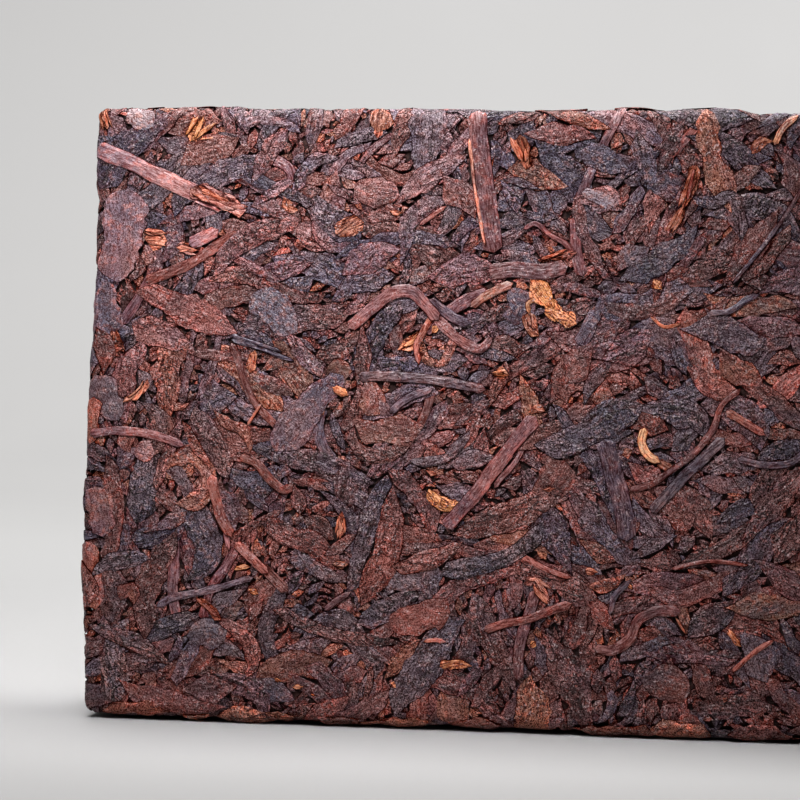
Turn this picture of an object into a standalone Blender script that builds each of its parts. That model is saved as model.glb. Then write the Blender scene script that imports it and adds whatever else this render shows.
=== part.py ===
"""A brick of pressed pu-erh tea, standing on one long narrow side.

Metres, +Z up. The length runs along X and the thickness along Y, with the front face
towards -Y. The origin is the middle of the flat foot that the brick rests on.
"""

import math
import random

import bmesh
import bpy
from mathutils import Vector, noise

# Driving dimensions of the whole brick, out to its highest leaves.
LENGTH = 0.140
HEIGHT = 0.090
THICKNESS = 0.024

# The mould leaves flat sides that meet in small rounded edges.
EDGE_RADIUS = 0.0022

# The rim wanders where leaves have broken away, in long swells and in short bites.
RIM_SWELL = 0.0007
RIM_SWELL_WAVE = 0.024
RIM_BITE = 0.0006
RIM_BITE_WAVE = 0.0065

# The broad faces swell a little, under the relief of the leaves.
FACE_SWELL = 0.0004
FACE_SWELL_WAVE = 0.034

# The flat foot under the brick.
FOOT_HALF_LENGTH = 0.062
FOOT_HALF_WIDTH = 0.0075

# The grid that carries the relief, as cells between the rounded edges.
CELLS_LONG = 48
CELLS_THICK = 4
CELLS_HIGH = 29

# Pressed leaves and stems, which stand in low relief on both broad faces.
SEED = 27
LEAF_COLUMNS = 9
LEAF_ROWS = 8
LEAF_LENGTH = (0.014, 0.027)
LEAF_WIDTH = (0.0055, 0.0085)
LEAF_RISE = (0.0006, 0.0016)
STEM_COLUMNS = 4
STEM_ROWS = 3
STEM_LENGTH = (0.017, 0.030)
STEM_WIDTH = (0.0042, 0.0050)
STEM_RISE = (0.0018, 0.0022)
# How far a strip lies from its place in the rows, as a share of the space between two.
JITTER = 0.45
MOST_BEND = 0.25
# Leaves turn away from the brick's length by about this much, in radians.
ANGLE_SPREAD = 0.85
# The most that the relief may rise, as the press flattens it, and how far piled leaves add up.
PRESSED_RISE = 0.0026
PILE_SHARE = 0.08
# How deep the faces lie under the relief, so that its middle keeps the brick's thickness.
FACE_DEPTH = 0.6 * PRESSED_RISE

LEAF_BROWN = (0.060, 0.034, 0.033, 1.0)
LEAF_ROUGHNESS = 0.62

FRONT, BACK = -1, 1
HALF = Vector((0.5 * LENGTH, 0.5 * THICKNESS, 0.5 * HEIGHT))


def clear_scene():
    for obj in list(bpy.data.objects):
        bpy.data.objects.remove(obj, do_unlink=True)


def new_collection(name):
    collection = bpy.data.collections.new(name)
    bpy.context.scene.collection.children.link(collection)
    return collection


def pressed_leaf_material():
    material = bpy.data.materials.new("pressed_leaf")
    material.use_nodes = True
    shader = material.node_tree.nodes["Principled BSDF"]
    shader.inputs["Base Color"].default_value = LEAF_BROWN
    shader.inputs["Roughness"].default_value = LEAF_ROUGHNESS
    shader.inputs["Metallic"].default_value = 0.0
    return material


class Strip:
    """One leaf or stem pressed into a broad face: a long low ridge with a slight bend."""

    def __init__(self, draw, place, length, width, rise):
        self.centre = place
        self.half_length = 0.5 * draw.uniform(*length)
        self.half_width = 0.5 * draw.uniform(*width)
        self.rise = draw.uniform(*rise)
        self.bend = draw.uniform(-MOST_BEND, MOST_BEND) * self.half_length
        angle = draw.gauss(0.0, ANGLE_SPREAD)
        self.along = Vector((math.cos(angle), math.sin(angle)))
        self.across = Vector((-math.sin(angle), math.cos(angle)))

    def rise_at(self, place):
        """How far the strip raises the face at a place, given as x and z from the middle."""
        offset = place - self.centre
        run = offset.dot(self.along) / self.half_length
        if abs(run) >= 1.0:
            return 0.0
        side = offset.dot(self.across) - self.bend * run * run
        reach = self.half_width * math.sqrt(1.0 - run**4)
        if abs(side) >= reach:
            return 0.0
        return self.rise * math.sqrt(1.0 - (side / reach) ** 4)


def scattered_places(draw, columns, rows):
    """Places over a broad face, one for each cell of a loose table of columns and rows."""
    for row in range(rows):
        for column in range(columns):
            x = (column + 0.5 + draw.uniform(-JITTER, JITTER)) / columns
            z = (row + 0.5 + draw.uniform(-JITTER, JITTER)) / rows
            yield Vector(((2.0 * x - 1.0) * HALF.x, (2.0 * z - 1.0) * HALF.z))


def strips_of_face(seed):
    draw = random.Random(seed)
    leaves = [
        Strip(draw, place, LEAF_LENGTH, LEAF_WIDTH, LEAF_RISE)
        for place in scattered_places(draw, LEAF_COLUMNS, LEAF_ROWS)
    ]
    stems = [
        Strip(draw, place, STEM_LENGTH, STEM_WIDTH, STEM_RISE)
        for place in scattered_places(draw, STEM_COLUMNS, STEM_ROWS)
    ]
    return leaves + stems


def face_relief(strips, point):
    """The height of a broad face: its slow swell, and the leaves flattened by the press."""
    place = Vector((point.x, point.z))
    rises = [strip.rise_at(place) for strip in strips]
    pile = max(rises) + PILE_SHARE * (sum(rises) - max(rises))
    pressed = PRESSED_RISE * (1.0 - math.exp(-pile / PRESSED_RISE))
    return pressed + FACE_SWELL * noise.noise(point / FACE_SWELL_WAVE)


def rim_relief(point):
    """The rim's height: its slow swell, with bites out of it and lower bumps between them."""
    swell = RIM_SWELL * noise.noise(point / RIM_SWELL_WAVE)
    bite = RIM_BITE * noise.noise(point / RIM_BITE_WAVE)
    return swell + (bite if bite < 0.0 else 0.5 * bite)


def rounded(point):
    """Takes a point of the plain block to the rounded block, and gives the way out there."""
    inner = Vector(
        max(-half + EDGE_RADIUS, min(half - EDGE_RADIUS, value))
        for value, half in zip(point, HALF)
    )
    out = (point - inner).normalized()
    return inner + out * EDGE_RADIUS, out


def grid_lines(half, cells):
    """Even lines between the rounded edges, and one more line inside each rounding."""
    flat = half - EDGE_RADIUS
    even = [flat * (2.0 * i / cells - 1.0) for i in range(cells + 1)]
    turn = half - 0.5 * EDGE_RADIUS
    return [-turn, *even, turn]


def gridded_block():
    """A block of the brick's size, about the origin, with its faces cut into a grid."""
    block = bmesh.new()
    bmesh.ops.create_cube(block, size=2.0)
    bmesh.ops.scale(block, vec=HALF, verts=block.verts)
    for axis, cells in enumerate((CELLS_LONG, CELLS_THICK, CELLS_HIGH)):
        normal = Vector(float(i == axis) for i in range(3))
        for line in grid_lines(HALF[axis], cells):
            everything = block.verts[:] + block.edges[:] + block.faces[:]
            bmesh.ops.bisect_plane(
                block, geom=everything, plane_co=normal * line, plane_no=normal
            )
    return block


def is_foot(point):
    on_base = point.z < EDGE_RADIUS - HALF.z
    return on_base and abs(point.x) < FOOT_HALF_LENGTH and abs(point.y) < FOOT_HALF_WIDTH


def shape_block(block):
    """Rounds the block, and moves each point out or in by the relief of its side."""
    strips = {FRONT: strips_of_face(SEED), BACK: strips_of_face(SEED + 1)}
    for vert in block.verts:
        point, out = rounded(vert.co)
        facing = out.y**2
        side = FRONT if out.y < 0.0 else BACK
        relief = (1.0 - facing) * rim_relief(point)
        if facing > 0.0:
            relief += facing * (face_relief(strips[side], point) - FACE_DEPTH)
        vert.co = point + out * relief


def fit_to_size(block):
    """Brings the shaped block to the driving dimensions, standing on z = 0."""
    lows = [min(vert.co[axis] for vert in block.verts) for axis in range(3)]
    highs = [max(vert.co[axis] for vert in block.verts) for axis in range(3)]
    starts = (-HALF.x, -HALF.y, 0.0)
    for vert in block.verts:
        for axis in range(3):
            share = (vert.co[axis] - lows[axis]) / (highs[axis] - lows[axis])
            vert.co[axis] = starts[axis] + share * 2.0 * HALF[axis]


def tea_brick(collection):
    block = gridded_block()
    foot = [vert for vert in block.verts if is_foot(vert.co)]
    shape_block(block)
    fit_to_size(block)
    for vert in foot:
        vert.co.z = 0.0
    bmesh.ops.recalc_face_normals(block, faces=block.faces)
    mesh = bpy.data.meshes.new("tea_brick")
    block.to_mesh(mesh)
    block.free()
    mesh.materials.append(pressed_leaf_material())
    mesh.shade_smooth()
    collection.objects.link(bpy.data.objects.new("tea_brick", mesh))


def main():
    clear_scene()
    tea_brick(new_collection("pu_erh_tea_brick"))


main()
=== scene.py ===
"""Looks for a brick of pressed pu-erh tea, standing on one long narrow side.

Leaves, stems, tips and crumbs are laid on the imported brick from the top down: each new piece
passes under those that are already there, so all of them end flush, as the press leaves them.
Lengths are in millimetres until a mesh is made. X runs along the brick, -Y faces the camera.
"""

import math

import bpy
import numpy as np
from mathutils import Matrix, Vector


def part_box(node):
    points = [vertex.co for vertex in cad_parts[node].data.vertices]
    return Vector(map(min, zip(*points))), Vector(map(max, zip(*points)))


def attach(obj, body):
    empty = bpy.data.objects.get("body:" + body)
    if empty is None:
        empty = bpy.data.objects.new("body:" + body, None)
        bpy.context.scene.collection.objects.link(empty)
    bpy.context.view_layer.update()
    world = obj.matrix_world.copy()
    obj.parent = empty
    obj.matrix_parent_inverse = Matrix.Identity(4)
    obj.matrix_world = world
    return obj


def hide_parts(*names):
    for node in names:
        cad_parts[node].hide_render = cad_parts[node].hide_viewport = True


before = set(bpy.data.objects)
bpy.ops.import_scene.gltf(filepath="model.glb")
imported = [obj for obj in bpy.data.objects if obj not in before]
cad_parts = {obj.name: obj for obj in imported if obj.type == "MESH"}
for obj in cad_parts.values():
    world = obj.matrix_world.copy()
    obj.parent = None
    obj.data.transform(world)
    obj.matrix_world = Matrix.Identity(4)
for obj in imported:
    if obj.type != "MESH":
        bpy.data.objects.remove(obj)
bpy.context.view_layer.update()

MM = 0.001
SEED = 250

# The brick that the leaves are laid on: the CAD box, a little inside its highest leaves.
INSET = np.array([0.55, 0.55, 0.55])
ROUND = 1.7
box_low, box_high = (np.array(corner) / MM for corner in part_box("tea_brick"))
HALF = 0.5 * (box_high - box_low) - INSET
CENTRE = 0.5 * (box_high + box_low)
# Heroes are placed from the lower left corner of the front, as the photo shows it.
CORNER_U = -0.5 * (box_high - box_low)[0]
CORNER_V = -0.5 * (box_high - box_low)[2]

# The raster that remembers how low the pieces already laid come.
CELL = 0.25
OPEN = 99.0

# The steps of the fine grid on which a piece is worked out.
FINE = 0.22


# ---------------------------------------------------------------- noise


def lattice(i, j, k, seed):
    """A repeatable value from -1 to 1 for each whole-number place."""
    mixed = i * 73856093 ^ j * 19349663 ^ k * 83492791 ^ (seed * 2654435761 & 0x7FFFFFFF)
    mixed = (mixed ^ (mixed >> 15)) * 2246822519 & 0x7FFFFFFF
    mixed = (mixed ^ (mixed >> 13)) * 3266489917 & 0x7FFFFFFF
    return ((mixed ^ (mixed >> 16)) & 0xFFFF) / 32767.5 - 1.0


def noise2(x, y, seed):
    """Smooth noise from -1 to 1 over the plane, with bumps about one unit across."""
    x, y = np.broadcast_arrays(x, y)
    i, j = np.floor(x).astype(np.int64), np.floor(y).astype(np.int64)
    fx, fy = x - i, y - j
    fx, fy = fx * fx * (3.0 - 2.0 * fx), fy * fy * (3.0 - 2.0 * fy)
    low = lattice(i, j, 0, seed) * (1.0 - fx) + lattice(i + 1, j, 0, seed) * fx
    high = lattice(i, j + 1, 0, seed) * (1.0 - fx) + lattice(i + 1, j + 1, 0, seed) * fx
    return low * (1.0 - fy) + high * fy


def noise3(points, wave, seed):
    """Smooth noise from -1 to 1 at points in space, with bumps about one wave across."""
    places = points / wave
    whole = np.floor(places).astype(np.int64)
    part = places - whole
    part = part * part * (3.0 - 2.0 * part)
    total = 0.0
    for corner in range(8):
        steps = np.array([corner & 1, corner >> 1 & 1, corner >> 2])
        share = np.where(steps == 1, part, 1.0 - part).prod(axis=-1)
        i, j, k = np.moveaxis(whole + steps, -1, 0)
        total = total + share * lattice(i, j, k, seed)
    return total


# ---------------------------------------------------------------- the brick's sides


class Side:
    """One side as a flat sheet, with u and v in mm from its middle. The sheet folds over
    the brick's rounded edges and goes on along the next side."""

    def __init__(self, name, right, up, along, across):
        self.name = name
        self.right = np.array(right, float)
        self.up = np.array(up, float)
        self.out = np.cross(self.right, self.up)
        self.half_u = abs(self.right @ HALF)
        self.half_v = abs(self.up @ HALF)
        self.depth = abs(self.out @ HALF)
        # The spacing of mesh points along and across the pieces laid on this side.
        self.along = along
        self.across = across

    def surface(self, u, v):
        """The brick's points under these places on the sheet, and the way out there."""
        past_u = np.maximum(np.abs(u) - (self.half_u - ROUND), 0.0)
        past_v = np.maximum(np.abs(v) - (self.half_v - ROUND), 0.0)
        turn_u = np.minimum(past_u / ROUND, 0.5 * math.pi)
        turn_v = np.minimum(past_v / ROUND, 0.5 * math.pi)
        beyond = np.maximum(past_u - 0.5 * math.pi * ROUND, 0.0)
        beyond = beyond + np.maximum(past_v - 0.5 * math.pi * ROUND, 0.0)
        flat_u = np.clip(u, ROUND - self.half_u, self.half_u - ROUND)
        flat_v = np.clip(v, ROUND - self.half_v, self.half_v - ROUND)
        inner = (
            flat_u[..., None] * self.right
            + flat_v[..., None] * self.up
            + (self.depth - ROUND - beyond)[..., None] * self.out
        )
        out = (
            (np.sign(u) * np.sin(turn_u) * np.cos(turn_v))[..., None] * self.right
            + (np.sign(v) * np.sin(turn_v))[..., None] * self.up
            + (np.cos(turn_u) * np.cos(turn_v))[..., None] * self.out
        )
        return inner + ROUND * out, out


class Cover:
    """How low the pieces already laid come, for each cell of the brick's six sides."""

    def __init__(self):
        self.counts = np.ceil(2.0 * HALF / CELL).astype(int)
        others = [(1, 2), (0, 2), (0, 1)]
        self.faces = [(axis, sign, *others[axis]) for axis in range(3) for sign in (-1, 1)]
        sizes = [self.counts[a] * self.counts[b] for _, _, a, b in self.faces]
        self.starts = np.concatenate([[0], np.cumsum(sizes)])
        self.ceiling = np.full(self.starts[-1], OPEN)

    def cells(self, points, out):
        """The cell under each point of the rounded brick."""
        inner = points - ROUND * out
        boxed = inner + out * (ROUND / np.abs(out).max(axis=-1, keepdims=True))
        axis = np.abs(out).argmax(axis=-1)
        found = np.zeros(axis.shape, int)
        steps = np.clip(((boxed + HALF) / CELL).astype(int), 0, self.counts - 1)
        for face, (normal, sign, a, b) in enumerate(self.faces):
            here = (axis == normal) & (np.sign(out[..., normal]) == sign)
            index = self.starts[face] + steps[..., a] * self.counts[b] + steps[..., b]
            found[here] = index[here]
        return found

    def face_of(self, side):
        axis = int(np.abs(side.out).argmax())
        sign = int(np.sign(side.out[axis]))
        return next(i for i, face in enumerate(self.faces) if face[:2] == (axis, sign))

    def face_cells(self, face):
        """One face's part of the ceiling, as rows and columns."""
        _, _, a, b = self.faces[face]
        part = self.ceiling[self.starts[face] : self.starts[face + 1]]
        return part.reshape(self.counts[a], self.counts[b])

    def open_places(self, side):
        """Sheet places of the side's cells that nothing covers yet."""
        face = self.face_of(side)
        _, _, a, b = self.faces[face]
        rows, columns = np.nonzero(self.face_cells(face) >= OPEN)
        places = np.zeros((len(rows), 3))
        places[:, a] = (rows + 0.5) * CELL - HALF[a]
        places[:, b] = (columns + 0.5) * CELL - HALF[b]
        return np.stack([places @ side.right, places @ side.up], axis=1)


# ---------------------------------------------------------------- pieces


def spread(values, radius, worst):
    """The lowest (or mean) value within some steps of each point of a grid."""
    for axis in (0, 1):
        size = values.shape[axis]
        reach = min(radius, size - 1)
        padded = np.pad(values, [(reach, reach) if a == axis else (0, 0) for a in (0, 1)], "edge")
        shifted = [np.take(padded, range(i, i + size), axis) for i in range(2 * reach + 1)]
        values = np.min(shifted, axis=0) if worst else np.mean(shifted, axis=0)
    return values


def smooth_path(points):
    """A curve through a few points, in even fine steps."""
    points = np.array(points, float)
    lengths = np.linalg.norm(np.diff(points, axis=0), axis=1)
    knots = np.concatenate([[0.0], np.cumsum(lengths)])
    slopes = np.gradient(points, knots, axis=0)
    steps = max(6, int(knots[-1] / FINE) + 1)
    runs = np.linspace(0.0, knots[-1], steps)
    span = np.clip(np.searchsorted(knots, runs) - 1, 0, len(knots) - 2)
    width = (knots[span + 1] - knots[span])[:, None]
    f = (runs - knots[span])[:, None] / width
    return (
        (2 * f**3 - 3 * f**2 + 1) * points[span]
        + (f**3 - 2 * f**2 + f) * width * slopes[span]
        + (3 * f**2 - 2 * f**3) * points[span + 1]
        + (f**3 - f**2) * width * slopes[span + 1]
    )


def wandering_path(rng, centre, length, angle, bend, sway):
    """A curve of some length about a centre. It bends one way, and sways to and fro."""
    steps = max(6, int(length / FINE) + 1)
    run = np.linspace(-1.0, 1.0, steps)
    turn = angle + bend * run + sway * np.sin(rng.uniform(2.0, 4.0) * run + rng.uniform(0, 6.3))
    step = length / (steps - 1)
    path = np.cumsum(np.stack([np.cos(turn), np.sin(turn)], axis=1) * step, axis=0)
    return path - path[steps // 2] + centre


def cords(t, s, count, seed):
    """Rounded cords that lie side by side, with a sharp crease between each two."""
    edges = [np.full_like(s, -1.0)]
    for i in range(1, count):
        middle = 2.0 * i / count - 1.0
        edges.append(middle + (0.75 / count) * noise2(s / 5.0 + 7.0 * i, 0.0, seed))
    edges.append(np.full_like(s, 1.0))
    height = np.zeros_like(t)
    for i in range(count):
        low, high = edges[i], edges[i + 1]
        inside = (t >= low) & (t <= high)
        q = np.clip((2.0 * t - low - high) / (high - low), -1.0, 1.0)
        swell = 1.0 + 0.35 * noise2(s / 4.0 + 3.0 * i, 9.0, seed)
        height = np.where(inside, swell * np.sqrt(1.0 - 0.96 * q * q), height)
    return height


class Style:
    """How one kind of piece looks: its section, its ends, its relief and its edges."""

    def __init__(self, section, crown, ends, point, ragged, wrinkle, folds, thick):
        self.section = section  # rolled, flat, stem or crumb
        self.crown = crown  # how high its middle stands over its edges
        self.ends = ends  # how long its narrowing ends are, against its half width
        self.point = point  # how pointed they are: 1 is straight, and low is blunt
        self.ragged = ragged  # how much its outline wanders, as a share of its width
        self.wrinkle = wrinkle  # the height of its finer relief
        self.folds = folds  # the least and most that its surface is folded and grainy
        self.thick = thick


def angular(s, wave, seed):
    """Values from -1 to 1 in straight runs about a wave long, with corners between them."""
    count = int(s[-1] / wave) + 3
    steps = np.arange(count)
    knots = np.cumsum(0.55 + 0.9 * (0.5 + 0.5 * lattice(steps, 1, 2, seed))) * wave
    return np.interp(s, np.concatenate([[0.0], knots[:-1]]), lattice(steps, 5, 6, seed))


def outline(style, s, half, seed):
    """Half widths to the left and right of the spine. Each end is torn or cut in its own
    way, so the two sides narrow over different lengths."""
    length = s[-1]
    pick = lattice(np.arange(4), 3, 7, seed) * 0.5 + 0.5
    sides = []
    for hand in (0, 1):
        head = half * style.ends * (0.3 + 1.4 * pick[hand])
        tail = half * style.ends * (0.3 + 1.4 * pick[3 - hand])
        start = np.clip(s / min(head, 0.6 * length), 0.0, 1.0)
        stop = np.clip((length - s) / min(tail, 0.6 * length), 0.0, 1.0)
        taper = (start * stop) ** style.point
        slow = angular(s, 1.2 * half + 0.9, seed + hand)
        quick = angular(s, 0.7, seed + 3 + hand)
        worn = 1.0 + style.ragged * (slow + 0.4 * quick)
        sides.append(np.maximum(half * taper * worn, 0.06))
    return sides


def ridged(x, y, seed):
    """Noise with sharp valleys at 0 and round tops near 1, like crumpled leaf."""
    return np.minimum(1.0, 2.2 * np.abs(noise2(x, y, seed) + 0.35 * noise2(2.1 * x, 2.1 * y, seed + 5)))


def relief(style, t, s, half, seed):
    """The height over the piece's edges, for places across (t) and along (s)."""
    across = t * half
    if style.section == "rolled":
        count = 1 + int(half > 0.7) + int(half > 1.3) + seed % 2
        body = 0.75 * cords(t, s, count, seed) + 0.25 * (1.0 - t**4)
        bent = across / 0.85 + 0.6 * noise2(s / 2.4, across / 2.0, seed + 4)
        fine = 1.2 * ridged(s / 3.6, bent, seed + 1) + 0.15 * noise2(s / 1.0, across / 0.5, seed + 2)
    elif style.section == "stem":
        body = np.sqrt(1.0 - 0.93 * t**4)
        fine = noise2(s / 3.5, across / 0.2, seed + 1) + 0.5 * noise2(s / 1.2, across / 0.35, seed + 2)
    elif style.section == "flat":
        body = (1.0 - t**6) * (0.7 + 0.6 * noise2(s / 4.0, across / 3.0, seed))
        bent = across / 1.1 + 0.9 * noise2(s / 3.0, across / 2.2, seed + 4)
        fine = 1.4 * ridged(s / 4.5, bent, seed + 1) + 0.15 * noise2(s / 1.0, across / 0.6, seed + 2)
    else:
        body = (1.0 - t**4) * (1.0 + 0.7 * noise2(s / 1.0, across / 0.8, seed))
        fine = ridged(s / 0.9, across / 0.7, seed + 1)
    edge = np.minimum(1.0, 4.0 * (1.0 - np.abs(t)))
    return style.crown * body + style.wrinkle * (fine - 0.45) * edge


# The left end bulges over its lower part, and the top edge rises a little to the
# right of its middle. Each has its height, where it is highest, and how far it reaches, in mm.
LEFT_BULGE, BULGE_AT, BULGE_REACH = 1.2, 30.0, 30.0
TOP_RISE, RISE_AT, RISE_REACH = 0.5, 80.0, 15.0


def hump(place, middle, reach):
    """A smooth hump, 1 high at its middle and nearly flat past its reach."""
    return np.exp(-(((place - middle) / reach) ** 2))


def pressed_plane(points, out):
    """The press leaves the broad sides gently uneven. The narrow sides are rougher, as leaves
    broke away there. One end bulges, and the top rises a little."""
    rough = 1.0 + 1.2 * (1.0 - out[..., 1] ** 2)
    swell = 0.20 * noise3(points, 26.0, SEED) + 0.13 * noise3(points, 7.0, SEED + 1)
    detail = 0.10 * noise3(points, 2.6, SEED + 2)
    left = LEFT_BULGE * hump(points[..., 2] + HALF[2], BULGE_AT, BULGE_REACH)
    top = TOP_RISE * hump(points[..., 0] + HALF[0], RISE_AT, RISE_REACH)
    sides = left * np.clip(-out[..., 0], 0.0, 1.0) + top * np.clip(out[..., 2], 0.0, 1.0)
    return rough * (swell + detail) + sides


def painted_light_gradient(points):
    """Painted light: leaves are greyer towards the upper left of the front, standing in for the
    cool sheen of the light there, and redder low down, where less of it falls.
    """
    share = 0.6 * points[..., 2] / HALF[2] - 0.4 * points[..., 0] / HALF[0] - 0.2
    return 1.0 + share[..., None] * np.array([-0.05, 0.05, 0.09])


# On its map a piece is a rectangle. The hidden underside is squeezed to a part of its width,
# and each tip takes a short run beyond the piece's ends.
UNDER_SEAMS = 3
UNDER_SHARE = 0.35
TIP_RUN = 0.2


class Heap:
    """The mesh of one kind of piece, gathered one piece at a time."""

    def __init__(self, name, slot):
        self.name, self.slot = name, slot
        self.points, self.faces, self.tints, self.lies, self.rims = [], [], [], [], []
        self.sheets = []
        self.count = 0
        self.triangles = 0

    def add(self, rings, tips, tint, lie, rim):
        """A closed loft: rings of points, and one more point at each end."""
        stations, around = rings.shape[:2]
        index = self.count + np.arange(stations * around).reshape(stations, around)
        after = np.roll(index, -1, axis=1)
        quads = np.stack([index[:-1], after[:-1], after[1:], index[1:]], axis=-1).reshape(-1, 4)
        first, last = self.count + stations * around, self.count + stations * around + 1
        lead = np.stack([after[0], index[0], np.full(around, first)], axis=-1)
        trail = np.stack([index[-1], after[-1], np.full(around, last)], axis=-1)
        self.points += [rings.reshape(-1, 3), tips]
        self.faces.append((quads, np.concatenate([lead, trail])))
        steps = np.linalg.norm(np.roll(rings, -1, axis=1) - rings, axis=2).mean(axis=0)
        steps[-UNDER_SEAMS:] *= UNDER_SHARE
        runs = np.linalg.norm(np.diff(rings, axis=0), axis=2).mean(axis=1)
        self.sheets.append((np.cumsum(np.append(0.0, steps)), np.cumsum(np.append(TIP_RUN, runs))))
        ends = [0, -1]
        self.tints += [tint.reshape(-1, 4), tint[ends, around // 2]]
        self.lies += [lie.reshape(-1, 3), lie[ends, around // 2]]
        self.rims += [rim.reshape(-1, 3), rim[ends, around // 2] * (0.0, 1.0, 1.0)]
        self.count = last + 1
        self.triangles += 2 * len(quads) + 2 * around


def paint(rng, colour, other, s, across, inset, seed):
    """A colour for each point of a piece. It shifts towards another colour in soft patches,
    and here and there a paler, redder band near the torn edges is partly their own colour and
    partly a painted highlight where light catches them."""
    colour = np.array(colour) * rng.uniform(0.86, 1.16) * rng.uniform(0.96, 1.04, 3)
    patch = noise2(s / 3.0, across / 1.4, seed + 11) + 0.5 * noise2(s / 1.1, across / 0.6, seed + 12)
    share = np.clip(0.35 + 0.55 * patch, 0.0, 1.0)[..., None] * 0.5
    shade = 1.0 + 0.18 * noise2(s / 2.4, across / 0.9, seed + 13)
    mixed = (colour * (1.0 - 1.4 * share) + np.array(other) * 1.4 * share) * shade[..., None]
    # The edge band: partly the torn edges' own paler, redder colour, partly a painted highlight.
    rim = np.exp(-(((inset - 0.3) / 0.22) ** 2)) * np.clip(1.6 * noise2(s / 1.8, across, seed + 14), 0.0, 1.0)
    return mixed * (1.0 + rim[..., None] * np.array([0.75, 0.35, 0.20]))


class Bed:
    """The brick's surface with the pieces laid so far."""

    def __init__(self, rng):
        self.rng = rng
        self.cover = Cover()
        self.next_seed = 1

    def lay(self, side, heap, style, path, width, colour, other, raise_by=0.0, least=0.12):
        """Lays one piece along a path, under the pieces that are there. True if it shows."""
        seed, self.next_seed = self.next_seed * 17, self.next_seed + 1
        half = 0.5 * width
        steps = np.linalg.norm(np.diff(path, axis=0), axis=1)
        s = np.concatenate([[0.0], np.cumsum(steps)])
        way = np.gradient(path, axis=0)
        way /= np.maximum(np.linalg.norm(way, axis=1, keepdims=True), 1e-9)
        left, right = outline(style, s, half, seed)
        columns = max(7, int(width / FINE) + 1)
        even = np.linspace(-1.0, 1.0, columns)[None, :]
        t = 0.6 * even + 0.4 * np.sin(0.5 * math.pi * even)
        reach = np.where(t < 0.0, left[:, None], right[:, None]) * t
        u = path[:, 0, None] - way[:, 1, None] * reach
        v = path[:, 1, None] + way[:, 0, None] * reach
        base, out = side.surface(u, v)
        s_grid, t_grid = np.broadcast_to(s[:, None], u.shape), np.broadcast_to(t, u.shape)
        size = np.clip(np.minimum(left, right) / half, 0.25, 1.0)[:, None]
        plane = pressed_plane(base, out)
        wanted = plane + raise_by + size * relief(style, t_grid, s_grid, half, seed)
        cells = self.cover.cells(base, out)
        found = self.cover.ceiling[cells]
        limit = spread(found, 1, True) - 0.02
        height = np.minimum(wanted, limit)
        shows = found >= OPEN
        if shows.mean() < least:
            return False
        keep = np.flatnonzero(shows.any(axis=1))
        first, last = max(0, keep[0] - 2), min(len(s) - 1, keep[-1] + 2)
        if last - first < 3:
            return False
        firm = np.clip(0.5 + 1.1 * noise2(s_grid / 2.5, 1.5 * t_grid, seed + 21), 0.0, 1.0)
        np.minimum.at(self.cover.ceiling, cells, height - style.thick * (0.3 + 0.9 * firm))
        # How far the piece is pressed down under its neighbours. With the edge inset and firm, it goes to the material,
        # which paints shade in these dips and along the firm edges.
        dip = np.clip((wanted - height) / 0.35, 0.0, 1.0)
        inset = np.where(t_grid < 0.0, left[:, None], right[:, None]) * (1.0 - np.abs(t_grid))
        rim = np.stack([inset, firm, dip], axis=-1)
        rows = np.unique(np.linspace(first, last, max(4, int((s[last] - s[first]) / side.along) + 1)).astype(int))
        inner = np.linspace(1, columns - 2, max(3, int(width / side.across))).astype(int)
        picks = np.unique(np.concatenate([[0], inner, [columns - 1]]))
        tops = base + out * height[..., None]
        low = np.minimum(height[:, [-1, 0]], height.min(axis=1)[:, None]) - style.thick
        low = np.minimum(low, plane.min(axis=1)[:, None] - 0.12)
        under = base[:, [-3, 2]] + out[:, [-3, 2]] * low[..., None]
        rings = np.concatenate([tops[np.ix_(rows, picks)], under[rows]], axis=1)
        middle = rings[[0, -1]].mean(axis=1)
        onward = rings[[0, -1]].mean(axis=1) - rings[[1, -2]].mean(axis=1)
        blunt = 0.25 * np.maximum(np.linalg.norm(onward, axis=1, keepdims=True), 1e-6)
        tips = middle + onward / np.maximum(np.linalg.norm(onward, axis=1, keepdims=True), 1e-6) * np.minimum(blunt, 0.12)
        # The tint takes the painted light gradient: greyer towards the upper left, redder low down.
        tint = paint(self.rng, colour, other, s_grid, reach, inset, seed) * painted_light_gradient(base)
        folding = np.full_like(reach, self.rng.uniform(*style.folds))
        tint = np.concatenate([tint, folding[..., None]], axis=-1)
        around = len(picks) + 2
        lie = np.stack([s_grid, reach, np.full_like(reach, seed % 997)], axis=-1)
        both = lambda grid: np.concatenate([grid[np.ix_(rows, picks)], grid[rows][:, [-1, 0]]], axis=1)
        heap.add(rings, tips, both(tint), both(lie), both(rim))
        return True


# ---------------------------------------------------------------- meshes


def new_mesh(name, points, quads, triangles):
    """A mesh from points in mm about the brick's middle."""
    mesh = bpy.data.meshes.new(name)
    mesh.vertices.add(len(points))
    mesh.vertices.foreach_set("co", ((points + CENTRE) * MM).astype(np.float32).ravel())
    corners = np.concatenate([quads.ravel(), triangles.ravel()]).astype(np.int32)
    mesh.loops.add(len(corners))
    mesh.loops.foreach_set("vertex_index", corners)
    starts = np.concatenate(
        [4 * np.arange(len(quads)), 4 * len(quads) + 3 * np.arange(len(triangles))]
    )
    mesh.polygons.add(len(starts))
    mesh.polygons.foreach_set("loop_start", starts.astype(np.int32))
    mesh.update(calc_edges=True)
    mesh.validate()
    return mesh


def add_attribute(mesh, name, kind, field, values):
    attribute = mesh.attributes.new(name, kind, "POINT")
    attribute.data.foreach_set(field, values.astype(np.float32).ravel())


def add_piece(name, mesh, material):
    mesh.materials.append(material)
    piece = bpy.data.objects.new(name, mesh)
    bpy.context.scene.collection.objects.link(piece)
    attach(piece, "root")
    return piece


MAP_GAP = 0.3


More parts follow.
